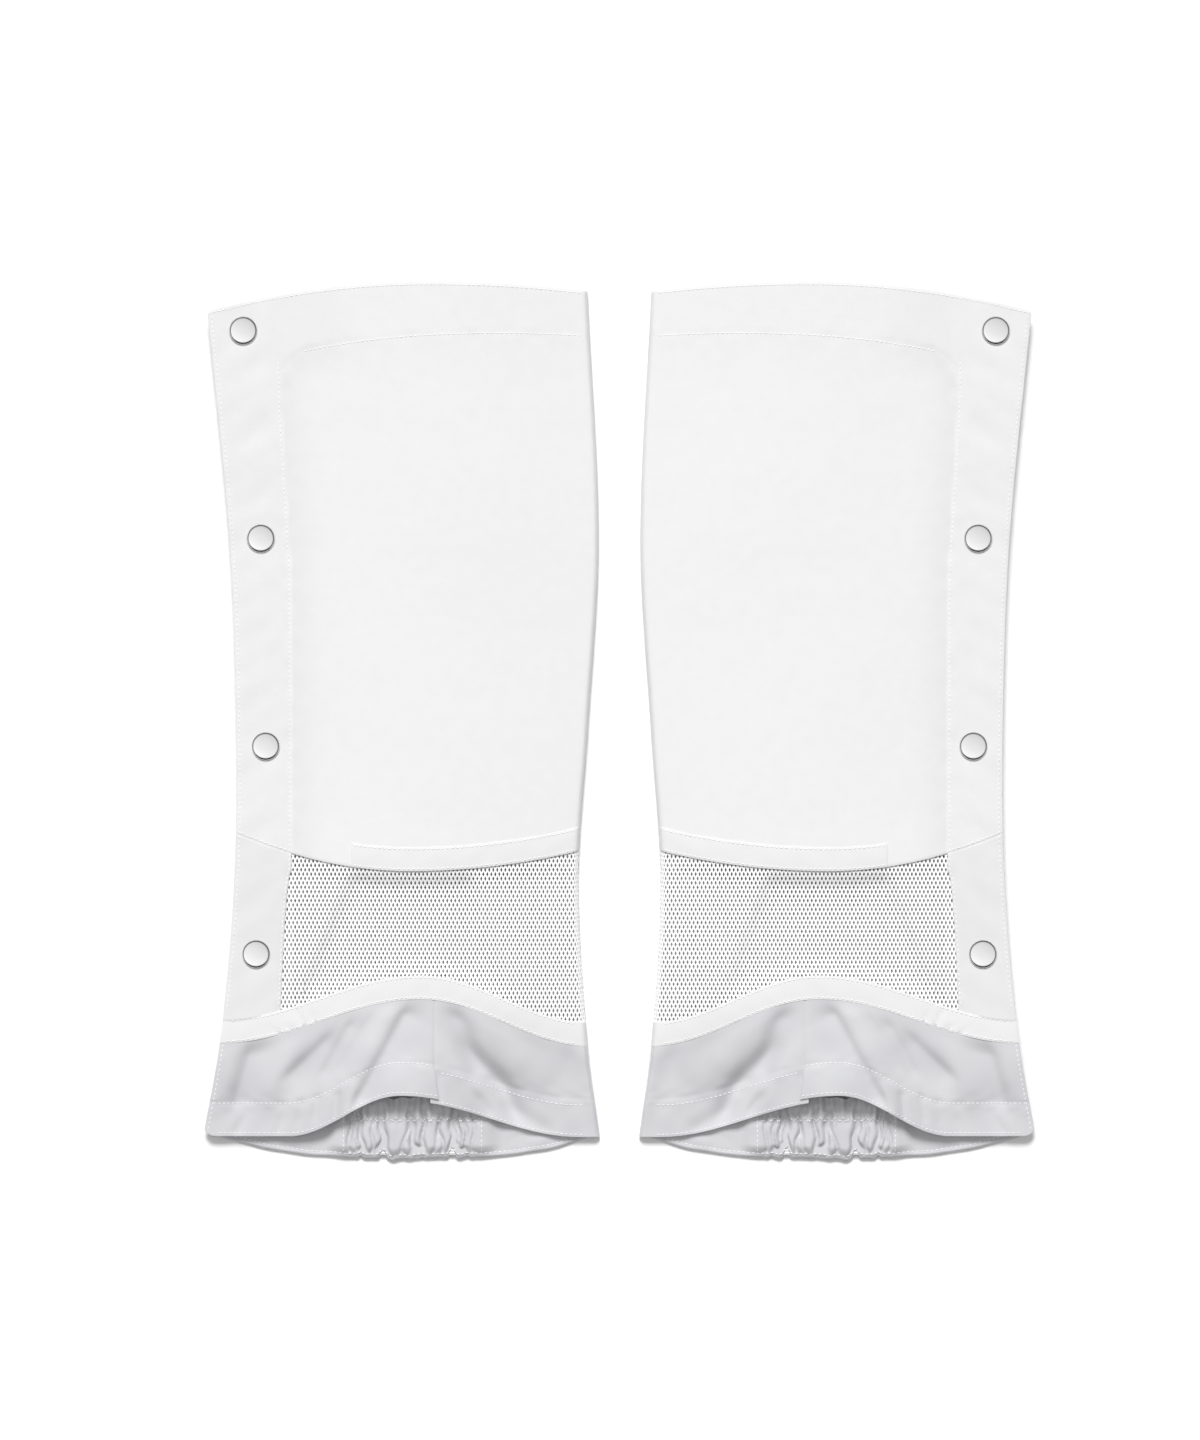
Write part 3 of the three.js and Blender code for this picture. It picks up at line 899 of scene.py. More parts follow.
@dataclass(frozen=True)
class SpunThread(Finish):
    """Spun polyester sewing thread: white, with a tight twist."""

    twist_mm: float = 0.5

    def build(self) -> bpy.types.Material:
        """Build the twist."""
        material, tree, shader = self.start()
        place = add(tree, "ShaderNodeTexCoord").outputs["Object"]
        twist = add(
            tree, "ShaderNodeTexWave", {"Vector": place, "Scale": waves_per_metre(self.twist_mm)},
            bands_direction="DIAGONAL")
        bump = add(
            tree, "ShaderNodeBump", {"Height": twist.outputs["Fac"], "Strength": 0.3, "Distance": 0.1 * MM})
        tree.links.new(bump.outputs["Normal"], shader.inputs["Normal"])
        shader.inputs["Sheen Weight"].default_value = 0.1
        return material


@dataclass(frozen=True)
class PressedNickel(Finish):
    """Nickel-plated brass, pressed and tumbled: bright, with a faint haze and hairline scuffs."""

    scuff_mm: float = 0.25

    def build(self) -> bpy.types.Material:
        """Build the haze and the scuffs."""
        material, tree, shader = self.start()
        place = add(tree, "ShaderNodeTexCoord").outputs["Object"]
        haze = add(tree, "ShaderNodeTexNoise", {"Vector": place, "Scale": 1 / (3 * MM), "Detail": 3.0})
        gloss = add(
            tree, "ShaderNodeMapRange", { "Value": haze.outputs["Fac"], "To Min": self.roughness - 0.04,
            "To Max": self.roughness + 0.08})
        tree.links.new(gloss.outputs["Result"], shader.inputs["Roughness"])
        drawn = add(tree, "ShaderNodeMapping", {"Vector": place, "Scale": (1.0, 0.1, 1.0)})
        scuffs = add(
            tree, "ShaderNodeTexNoise",
            {"Vector": drawn.outputs["Vector"], "Scale": 1 / (self.scuff_mm * MM)})
        bump = add(
            tree, "ShaderNodeBump",
            {"Height": scuffs.outputs["Fac"], "Strength": 0.06, "Distance": 0.02 * MM})
        tree.links.new(bump.outputs["Normal"], shader.inputs["Normal"])
        shader.inputs["Metallic"].default_value = 1.0
        return material


@dataclass(frozen=True)
class BraidedElastic(Finish):
    """Braided elastic: matt white yarn over rubber, with ribs along its length."""

    rib_mm: float = 1.4

    def build(self) -> bpy.types.Material:
        """Build the ribs."""
        material, tree, shader = self.start()
        uv = add(tree, "ShaderNodeUVMap", uv_map="cloth").outputs["UV"]
        ribs = add(
            tree, "ShaderNodeTexWave",
            {"Vector": uv, "Scale": waves_per_metre(self.rib_mm), "Distortion": 0.3}, bands_direction="Y")
        bump = add(
            tree, "ShaderNodeBump", {"Height": ribs.outputs["Fac"], "Strength": 0.7, "Distance": 0.3 * MM})
        tree.links.new(bump.outputs["Normal"], shader.inputs["Normal"])
        return material


def finishes() -> dict[str, bpy.types.Material]:
    """Build every finish of the gaiters by the record's slot, and the thread."""
    return {
        "cotton": WovenCotton("bleached_cotton", "#E5E5E5", 0.85).build(),
        "tape": TwillTape("cotton_tape", "#E0E0E0", 0.8).build(),
        "net": KnittedNet("warp_knit_net", "#F6F6F7", 0.55).build(),
        "satin": CuffSatin("polyester_satin", "#D0D0D2", 0.38).build(),
        "elastic": BraidedElastic("braided_elastic", "#E4E4E4", 0.75).build(),
        "thread": SpunThread("polyester_thread", "#EFEFEF", 0.6).build(),
        "satin_thread": SpunThread("matched_thread", "#F0F0F2", 0.5).build(),
        "nickel": PressedNickel("pressed_nickel", "#E8E8E8", 0.14).build(),
    }


# ---------------------------------------------------------------------------------------------------------
# The back


def across(run: Run, low: float, high: float) -> tuple[Field, Field]:
    """Lay a path along a run that crosses the leg."""
    w = np.linspace(low, high, max(2, round(abs(high - low))))
    return w, run(w)


def along(run: Run, low: float, high: float) -> tuple[Field, Field]:
    """Lay a path along a run that follows the leg."""
    y = np.linspace(low, high, max(2, round(abs(high - low))))
    return run(y), y


@dataclass(frozen=True)
class Back:
    """The back, flat on the surface: cotton panel, two bands and net, and where its satin cuff's outer edge
    runs.
    """

    shop: Workshop
    cloth: float = 0.6
    proud: float = 0.4
    lap: float = 2.5
    top_inset: float = 1.0
    cuff_tuck: float = 4.0
    knit_phase: tuple[float, float] = (0.17, -0.2)

    def cuff_edge(self, y: Field) -> Field:
        """Outer edge of the cuff, which draws in towards the hem."""
        plan = self.shop.plan
        return plan.back_edge(y) - self.cuff_tuck * smooth((plan.cuff_length - plan.back_drop - y) / 57.5)

    def band(self, name: str, seam: Run, node: str) -> None:
        """Sew a tape band upward from a seam."""
        shop, plan = self.shop, self.shop.plan
        hang = plan.flat(self.cloth + self.proud)
        cut = Cut(plan.fold, plan.back_edge, seam, shifted(seam, plan.band))
        shop.sheet(name, "tape", cut, hang, Hold.BACK, (node,), thickness=0.45)
        rows = [
            across(shifted(seam, step), plan.fold_to_middle + 12, plan.hinge_u + 22) for step in (1.2,
            plan.band - 1.2)]
        shop.stitches(f"{name}_stitches", rows, hang, Hold.BACK)

    def build(self) -> None:
        """Cut and lay the pieces."""
        shop, plan = self.shop, self.shop.plan
        flat = plan.flat(self.cloth)
        panel = Cut(
            plan.fold, plan.back_edge, shifted(plan.back_upper_seam, self.lap),
            shifted(plan.top_edge, -self.top_inset))
        shop.sheet("back_cotton", "cotton", panel, flat, Hold.BACK, ("back_panel",), step=4.0)
        net = Cut(
            plan.fold, plan.back_edge, shifted(plan.back_lower_seam, plan.band - self.lap),
            shifted(plan.back_upper_seam, self.lap))
        shop.net("back_knit", net, plan.flat(0.45), Hold.BACK, ("back_net",), phase=self.knit_phase)
        self.band("back_upper_band", plan.back_upper_seam, "back_upper_tape")
        self.band("back_lower_band", plan.back_lower_seam, "back_lower_tape")


@dataclass(frozen=True)
class GatheredHem:
    """The back's cuff and its hem, turned up over an elastic braid and gathered by it."""

    shop: Workshop
    back: Back
    turn_up: float = 31.0
    braid_length: float = 67.0
    braid_y: float = 2.5
    braid_width: float = 20.0
    braid_z: float = 1.9
    puff: float = 2.8
    drawn_middle: float = 102.65

    @property
    def shift(self) -> float:
        """How far the gaiter's middle lies from the one that the pleats' places are written for."""
        return self.shop.plan.middle - self.drawn_middle

    @property
    def braid_ends(self) -> tuple[float, float]:
        """Where the braid starts and ends."""
        middle = self.shop.plan.middle + 1
        return middle - self.braid_length / 2, middle + self.braid_length / 2

    def gathered(self, u: Field, fade: float = 7.0) -> Field:
        """Say how much of the braid's pull reaches a place, from 0 to 1."""
        low, high = self.braid_ends
        return smooth((u - low + fade) / fade) * smooth((high + fade - u) / fade)

    def grooves(self) -> list[Crease]:
        """Narrow valleys between the gathers, from the hem to the braid's upper edge.

        Each is given by its places outward at the hem and at the braid's upper edge, its width and depth.
        """
        shapes = (
            (135.5, 135.0, 0.9, 0.7),
            (132.0, 133.5, 0.9, 0.9),
            (128.3, 130.5, 1.3, 1.6),
            (124.6, 123.0, 0.8, 0.8),
            (118.4, 118.6, 1.7, 2.0),
            (115.0, 120.5, 0.8, 0.8),
            (109.0, 105.5, 0.9, 0.8),
            (102.4, 104.8, 1.5, 1.7),
            (98.6, 98.0, 1.1, 1.5),
            (93.9, 88.6, 0.8, 0.6),
            (88.4, 90.8, 0.9, 1.1),
            (83.8, 83.2, 1.6, 2.0),
            (80.4, 80.8, 0.9, 1.1),
            (76.8, 77.6, 0.8, 0.8),
            (73.6, 73.2, 0.8, 0.6),
        )
        return [
            Crease((foot + self.shift, 3.0), (head + self.shift, 21.0), width, -depth) for foot, head,
            width, depth in shapes]

    def pleats(self, u: Field, y: Field) -> Field:
        """Add up the valleys, bent a little along their length."""
        bent = u + 0.7 * np.sin(0.42 * y + 0.19 * u)
        return sum((groove.lift(bent, y) for groove in self.grooves()), np.zeros_like(u))

    def pockets(self, u: Field, above: Field) -> Field:
        """Deep places where the hem's edge folds in under the gathers."""
        spots = (
            (128.2, 3.4, 1.6),
            (119.8, 4.6, 2.4),
            (101.6, 4.4, 2.4),
            (82.6, 4.9, 2.4),
            (78.6, 3.9, 1.5),
        )
        return -sum(
            (2.0 * size * np.exp(-(((u - at - self.shift) / size) ** 2) - ((above - up) / (0.9 * size)) ** 2))
            for at, up, size in spots
        )

    def notches(self, u: Field) -> Field:
        """Draw the hem's edge up at the deepest pleats and let it hang between them."""
        shapes = (
            (129.6, 0.9, 1.2),
            (125.0, 2.2, -0.4),
            (118.4, 1.5, 2.6),
            (113.4, 2.2, -1.3),
            (106.0, 5.0, -0.5),
            (98.8, 0.9, 0.5),
            (90.4, 0.9, 0.4),
            (83.9, 1.3, 4.0),
            (79.8, 1.6, -0.3),
            (75.8, 0.9, 0.7),
        )
        return sum(
            (rise * np.exp(-(((u - at - self.shift) / width) ** 2)) for at, width, rise in shapes),
            np.zeros_like(u))

    def hem(self, u: Field) -> Field:
        """Hem, notched where the pleats are deepest."""
        waves = self.notches(u) + 0.25 * ruffle(u, u, 6.0, 3.0) * self.gathered(u)
        return self.shop.plan.back_hem(u) + waves + 0.3 * ruffle(u, u, 24, 3.0) * (1 - self.gathered(u))

    def relief(self, u: Field, y: Field) -> Field:
        """Pleats of the turned-up hem, deepest beside the braid's two edges."""
        above = y - self.hem(u)
        rise = smooth(above / 3)
        streaks = 1.0 * ruffle(u, 0.12 * y, 4.4, 2.0) * smooth((above - 15) / 6)
        drawn = 1.7 * self.pleats(u, y) + self.pockets(u, above) + streaks
        drawn = drawn + 0.18 * ruffle(u, 0.3 * y, 7.0, 4.0)
        sides = 0.3 * ruffle(u, y, 13, 5.0) * (1 - self.gathered(u))
        edge = 0.45 * np.exp(-(((above - 1.0) / 0.7) ** 2))
        total = rise * (self.gathered(u) * drawn + sides) + edge
        low, high = self.braid_ends
        over_braid = (u > low - 1) & (u < high + 1) & (y > self.braid_y - 0.8)
        lowest = np.where(over_braid, self.braid_z + 0.6, self.back.cloth + 0.6)
        _, lying = self.hang(u, y)
        return np.maximum(total, np.minimum(lowest - lying, 0))

    def hang(self, w: Field, y: Field) -> tuple[Field, Field]:
        """Lay the turned-up hem over the braid."""
        above = y - self.hem(w)
        over = mix(1.35, self.braid_z + self.puff, self.gathered(w, 12.0))
        return w, mix(0.85, over, smooth((above + 1.5) / 8)) - 0.6 * smooth((above - 26) / 4)

    def under_relief(self, u: Field, y: Field) -> Field:
        """Fainter pleats that run on above the turned-up hem, into the cuff."""
        above = y - self.hem(u)
        reach = smooth((above - 14) / 8) * smooth((52 - above) / 30)
        return self.gathered(u, 14) * reach * (1.0 + 0.9 * ruffle(u, 0.15 * y, 6.0, 1.0))

    def zigzag(self) -> tuple[Field, Field]:
        """Lay the zigzag row along the braid's upper edge."""
        low, high = self.braid_ends
        w = np.linspace(low, high, 400)
        swing = np.abs((w - low) / 3.8 % 1 - 0.5) * 2
        return w, self.braid_y + self.braid_width - 3.4 + 2.6 * swing

    def build(self) -> None:
        """Cut the cuff, turn up its hem and sew it over the braid."""
        shop, plan = self.shop, self.shop.plan
        edge = self.back.cuff_edge
        flat = plan.flat(self.back.cloth)
        outer = Cut(plan.fold, edge, shifted(self.hem, 0.4), shifted(plan.back_lower_seam, 2))
        shop.sheet(
            "back_satin", "satin", outer, flat, Hold.BACK, ("back_cuff",), self.under_relief, 0.55, 1.6)
        low, high = self.braid_ends
        braid = Cut(
            constant(low), constant(high), constant(self.braid_y), constant(self.braid_y + self.braid_width)
        )
        shop.sheet(
            "hem_elastic", "elastic", braid, plan.flat(self.braid_z), Hold.BACK, ("cuff_elastic",),
            lambda u, y: 0.1 * np.sin(math.tau * y / 1.6), 0.9, 0.8, "stretched")
        turned = Cut(
            shifted(plan.fold, 1.2), shifted(edge, -0.6), self.hem, lambda w: self.hem(w) + self.turn_up)
        shop.sheet("turned_hem", "satin", turned, self.hang, Hold.BACK, (), self.relief, 0.5, 0.7, "gathered")
        inner, outside = plan.fold_to_middle + 6, plan.hinge_u + 32
        rows = [across(lambda w: self.hem(w) + 2.2, inner, outside)]
        rows += [along(constant(end), 4, 23) for end in (low - 1, high + 1)]
        shop.stitches("turned_hem_stitches", rows, self.hang, Hold.BACK, self.relief, "satin_thread")
        proud = stack(self.relief, constant_relief(0.2))
        shop.stitches("braid_zigzag", [self.zigzag()], self.hang, Hold.BACK, proud, "thread", 1.7, 1.3, 0.7)


@dataclass(frozen=True)
class Underlap:
    """The back's outer edge, turned up and in under the placket to carry the studs."""

    shop: Workshop
    back: Back
    low_u: float = 162.5
    over_z: float = 2.9
    cloth: float = 1.0

    @property
    def radius(self) -> float:
        """Radius of the turn at the outer edge, to the cloth's upper face."""
        return (self.over_z - self.back.cloth) / 2

    def turn_end(self, y: Field) -> Field:
        """Flat place where the turn is complete, counted inward from the outer edge."""
        return self.shop.plan.back_edge(y) - self.radius

    def hang(self, w: Field, y: Field) -> tuple[Field, Field]:
        """Turn the flat cloth up round the edge: past turn_end it goes round and back underneath."""
        turn = self.turn_end(y)
        phi = np.clip((w - turn) / self.radius, 0, math.pi)
        u = np.minimum(w, turn) + self.radius * np.sin(phi)
        return u, self.over_z - self.radius * (1 - np.cos(phi))

    def build(self) -> None:
        """Cut the strip, turn it and topstitch it."""
        shop, plan = self.shop, self.shop.plan
        bottom = constant(plan.cuff_length - plan.back_drop + 1)
        cut = Cut(
            constant(self.low_u), lambda y: self.turn_end(y) + math.pi * self.radius, bottom,
            lambda w: plan.top_edge(np.minimum(w, plan.hinge_u + 30)) - 2)
        shop.sheet(
            "stud_strip", "cotton", cut, self.hang, Hold.BACK, ("underlap",), lambda u,
            y: 0.06 * ruffle(u, y, 14, 2.0), self.cloth, 1.6, "folded")
        rows = [
            along(constant(self.low_u + 2), plan.cuff_length - 20, plan.crown - 12),
            along(lambda y: plan.back_edge(y) - 2.5, plan.cuff_length - 20, plan.crown - 12)]
        shop.stitches("stud_strip_stitches", rows, self.hang, Hold.BACK)


# ---------------------------------------------------------------------------------------------------------
# The front


@dataclass(frozen=True)
class Front:
    """The front from the inner seam to the placket: cotton panel, hem facing, two bands and net."""

    shop: Workshop
    proud: float = 0.12
    lap: float = 2.5
    band_end: float = 134.0
    facing_depth: float = 25.5

    def facing(self, u: Field, y: Field) -> Field:
        """Raise the faced placket and top hem a little and draw their stitched line in."""
        inside = self.shop.plan.facing_inside(u, y)
        step = 0.2 * smooth((inside + 0.3) / 1.6)
        groove = -0.2 * np.exp(-(((inside - 0.9) / 0.8) ** 2))
        pucker = 0.1 * ruffle(u, y, 9, 1.0) * np.exp(-((inside / 5) ** 2))
        near_placket = smooth((u - self.shop.plan.facing_edge(y) + 45) / 30)
        return mix(0.4, 1.0, near_placket) * (step + groove) + pucker

    def cloth(self, u: Field, y: Field) -> Field:
        """Slow unevenness of cotton that has been folded and laid out."""
        broad = 0.22 * ruffle(u, y, 90, 4.0)
        fine = 0.05 * ruffle(u, y, 26, 7.0)
        return broad + fine

    def shade(self, u: Field, y: Field) -> Field:
        """Paint shade on the cloth beside the doubled facing, where the panel slopes up from the placket, and
        grey the placket a little.
        """
        inside = self.shop.plan.facing_inside(u, y)
        beside = np.exp(-((inside / 11) ** 2)) * smooth(-inside / 0.6)
        near_placket = smooth((u - self.shop.plan.facing_edge(y) + 45) / 30)
        return 0.75 * beside * mix(0.2, 1.0, near_placket) + 0.35 * smooth(inside / 0.6) * near_placket

    def band(self, name: str, seam: Run, node: str, end: float) -> None:
        """Sew a tape band upward from a seam, out to an end."""
        shop, plan = self.shop, self.shop.plan
        relief = stack(constant_relief(self.proud), self.band_relief(seam))
        cut = Cut(plan.front_start, constant(end), seam, shifted(seam, plan.band))
        shop.sheet(name, "tape", cut, plan.hang_front, Hold.SEAM, (node,), relief, 0.5, 1.5)
        rows = [
            across(shifted(seam, step), plan.fold_to_middle + 12, end - 1) for step in (1.1, plan.band - 1.1)
        ]
        shop.stitches(f"{name}_stitches", rows, plan.hang_front, Hold.SEAM, relief)

    def band_relief(self, seam: Run) -> Relief:
        """Sink a band's edges where they are sewn and pucker it slightly between."""

        def lift(u: Field, y: Field) -> Field:
            """Give the band's height at each place."""
            middle = (y - seam(u)) / self.shop.plan.band
            swell = 0.12 * np.sin(math.pi * np.clip(middle, 0, 1))
            folds = creased(
                Crease((160.5, 73.0), (157.0, 66.5), 1.0, -0.4),
                Crease((164.0, 66.0), (160.5, 64.0), 1.0, -0.3),
                Crease((153.0, 72.0), (151.5, 69.0), 1.0, -0.25),
                Crease((170.0, 64.0), (167.5, 62.5), 1.1, -0.3),
            )
            return swell + 0.06 * ruffle(u, y, 11, 8.0) + folds(u, y)

        return lift

    def drawn_in(self, u: Field, y: Field) -> Field:
        """Lay the net under the bands and sink its middle, which widens downward between two soft folds."""
        plan = self.shop.plan
        down = (plan.upper_y - y) / 50
        low = plan.middle - 27 - 17.4 * down
        high = plan.middle + 30 + 20.5 * down
        inside = smooth((u - low + 5) / 10) * smooth((high + 5 - u) / 10)
        clear = smooth((plan.upper_seam(u) - y) / 9) * smooth((y - plan.lower_seam(u) - plan.band) / 9)
        return -0.65 - 2.4 * inside * clear

    def build(self) -> None:
        """Cut, hang and sew the pieces."""
        shop, plan = self.shop, self.shop.plan
        relief = stack(self.facing, self.cloth)
        panel = Cut(plan.front_start, constant(plan.join_u), plan.upper_seam, plan.top_edge, 1.2)
        # The shade attribute paints shade beside the facing.
        shop.sheet(
            "front_cotton", "cotton", panel, plan.hang_front, Hold.SEAM, ("front_panel",), relief, 0.6, 1.8,
            shade=self.shade)
        hem = Cut(
            lambda y: plan.fold(y) + plan.curl + 1, constant(plan.join_u),
            shifted(plan.top_edge, -self.facing_depth), shifted(plan.top_edge, -0.8))
        shop.sheet(
            "hem_facing", "cotton", hem, plan.hang_front, Hold.SEAM, ("top_facing",),
            stack(relief, constant_relief(-0.75)), 0.5, 2.5)
        net = Cut(
            plan.front_start, constant(plan.join_u), shifted(plan.lower_seam, plan.band - self.lap),
            shifted(plan.upper_seam, self.lap))
        shop.net(
            "front_knit", net, plan.hang_front, Hold.SEAM, ("front_net",), self.drawn_in, (True, False))
        self.band("front_upper_band", plan.upper_seam, "front_upper_tape", self.band_end)
        self.band("front_lower_band", plan.lower_seam, "front_lower_tape", plan.join_u)
        self.sew_hem(relief)

    def sew_hem(self, relief: Relief) -> None:
        """Sew the top hem's facing line, up to the placket."""
        plan = self.shop.plan
        w = np.linspace(plan.fold_to_middle + 9, plan.join_u, 150)
        y = plan.top_edge(w) - plan.facing_depth - plan.facing_slope * (w - plan.fold_to_middle)
        for _ in range(8):
            y = y - plan.facing_inside(w, y) * 0.7
        rows = [(w, y), (w, plan.top_edge(w) - 1.6)]
        self.shop.stitches("hem_stitches", rows, plan.hang_front, Hold.SEAM, relief)


@dataclass(frozen=True)
class FrontCuff:
    """The front's satin cuff: an inner half, and an outer half that laps it and runs on over the flap."""

    shop: Workshop
    front: Front
    lap: float = 2.0
    under: float = 2.0
    hem_row: float = 16.5

    def creases(self) -> Relief:
        """Wrinkles of soft satin pulled by the seam, the elastic and the hem."""
        m = self.shop.plan.split_u
        return creased(
            Crease((m + 15, 72), (m + 36, 33), 3.0, -2.3, 4.0),
            Crease((m + 24, 71), (m + 45, 35), 5.0, 0.7),
            Crease((m + 43, 66), (m + 54, 46), 2.2, -1.1, 2.6),
            Crease((m + 33, 70), (m + 46, 48), 1.8, -0.6, 2.5),
            Crease((m + 55, 58), (m + 70, 44), 3.5, -1.8, 2.6),
            Crease((m + 72, 52), (m + 82, 36), 5.0, 0.9),
            Crease((m + 90, 60), (m + 98, 32), 4.0, -2.0, 2.4),
            Crease((m + 101, 54), (m + 106, 34), 4.0, 0.5),
            Crease((m + 49.0, 32), (m + 50, 21), 1.2, -1.3, 1.8),
            Crease((m + 59, 31), (m + 60, 22), 1.3, -0.8, 1.8),
            Crease((m + 41, 34), (m + 44, 24), 2.2, 0.9),
            Crease((m + 67, 27), (m + 68, 21), 1.5, -0.5, 1.6),
            Crease((m + 77, 19), (m + 78, 16), 2.0, -0.5),
            Crease((m + 97, 18), (m + 98, 16), 2.5, -0.6),
            Crease((m - 12, 70), (m - 20, 51), 6.0, -1.9, 0.8),
            Crease((m - 20, 51), (m - 33, 38), 6.0, -2.3, 0.8),
            Crease((m - 33, 38), (m - 39, 25), 5.0, -1.9, 0.9),
            Crease((m - 39, 25), (m - 52, 17), 4.5, -1.4),
            Crease((m - 26, 66), (m - 46, 44), 8.0, 0.9),
            Crease((m - 6, 52), (m - 20, 34), 6.0, 0.7),
            Crease((m - 23, 30), (m - 26, 26), 2.0, -1.3, 1.5),
            Crease((m - 66, 60), (m - 72, 30), 5.0, -0.8),
        )

    def lap_edge(self, y: Field) -> Field:
        """Inner edge of the outer half: on the seam above the hem, and lapping past it below."""
        return self.shop.plan.split_u - 2.5 * np.clip((47 - y) / 18, 0, 1)

    def relief(self, u: Field, y: Field) -> Field:
        """Wrinkles, the hem's doubled cloth and its sewn line."""
        plan = self.shop.plan
        above = y - plan.front_hem(u)
        hem = 0.12 * smooth((self.hem_row + 0.8 - above) / 2.0)
        row = -0.16 * np.exp(-(((above - self.hem_row) / 1.1) ** 2))
        pucker = 0.16 * ruffle(u, y, 7, 6.0) * np.exp(-(((above - self.hem_row) / 5) ** 2))
        soft = 0.4 * ruffle(u, y, 34, 9.0) + 0.1 * ruffle(u + 0.5 * y, 0.45 * y, 11, 12.0)
        below = plan.lower_seam(u) + 2 - y
        return hem + row + pucker + (soft + self.creases()(u, y)) * smooth(below / 10)

    def build(self) -> None:
        """Cut, hang and sew both halves."""
        shop, plan = self.shop, self.shop.plan
        top = shifted(plan.lower_seam, self.under)
        inner = Cut(
            plan.front_start, constant(plan.split_u + self.lap), shifted(plan.front_hem, -2.5), top, 1.2)
        lower = stack(self.relief, self.sink)
        shop.sheet(
            "inner_satin", "satin", inner, plan.hang_front, Hold.SEAM, ("front_cuff_inner",), lower, 0.6,
            1.3)
        upper = stack(self.relief, self.dip)
        outer = Cut(self.lap_edge, plan.edge, plan.front_hem, top, 0.75)
        shop.sheet(
            "outer_satin", "satin", outer, plan.hang_flap, Hold.PLACKET, ("front_cuff_outer", "flap_cuff"),
            upper, 0.6, 1.3)
        self.sew(lower)

    def sink(self, u: Field, y: Field) -> Field:
        """Lower the inner half where the outer one laps it: a shallow seam above, a full step at the hem."""
        split = self.shop.plan.split_u
        seam = -0.4 * smooth((u - split + 0.8) / 1.6)
        step = -0.85 * smooth((u - split + 4.5) / 2)
        return mix(seam, step, smooth((47 - y) / 6))

    def dip(self, u: Field, y: Field) -> Field:
        """Draw the outer half's inner edge into the seam above the hem."""
        return -0.25 * smooth((self.shop.plan.split_u + 1.2 - u) / 1.2) * smooth((y - 43) / 5)

    def sew(self, lower: Relief) -> None:
        """Sew the hem's rows and the outer edge."""
        shop, plan = self.shop, self.shop.plan
        split = plan.split_u
        rows = [
            across(lambda w: plan.front_hem(w) + self.hem_row - 3, plan.fold_to_middle + 8, split - 3),
            across(lambda w: plan.front_hem(w) - 1.2, plan.fold_to_middle + 8, split - 3)]
        shop.stitches("inner_satin_stitches", rows, plan.hang_front, Hold.SEAM, lower, "satin_thread")
        end = float(plan.edge(np.array(20.0))) - 3
        rows = [
            across(lambda w: plan.front_hem(w) + self.hem_row, split, end),
            across(lambda w: plan.front_hem(w) + 1.6, split - 2, end - 3),
            along(lambda y: plan.edge(y) - 1.8, 15, plan.cuff_length - 22)]
        shop.stitches(
            "outer_satin_stitches", rows, plan.hang_flap, Hold.PLACKET, self.relief, "satin_thread")


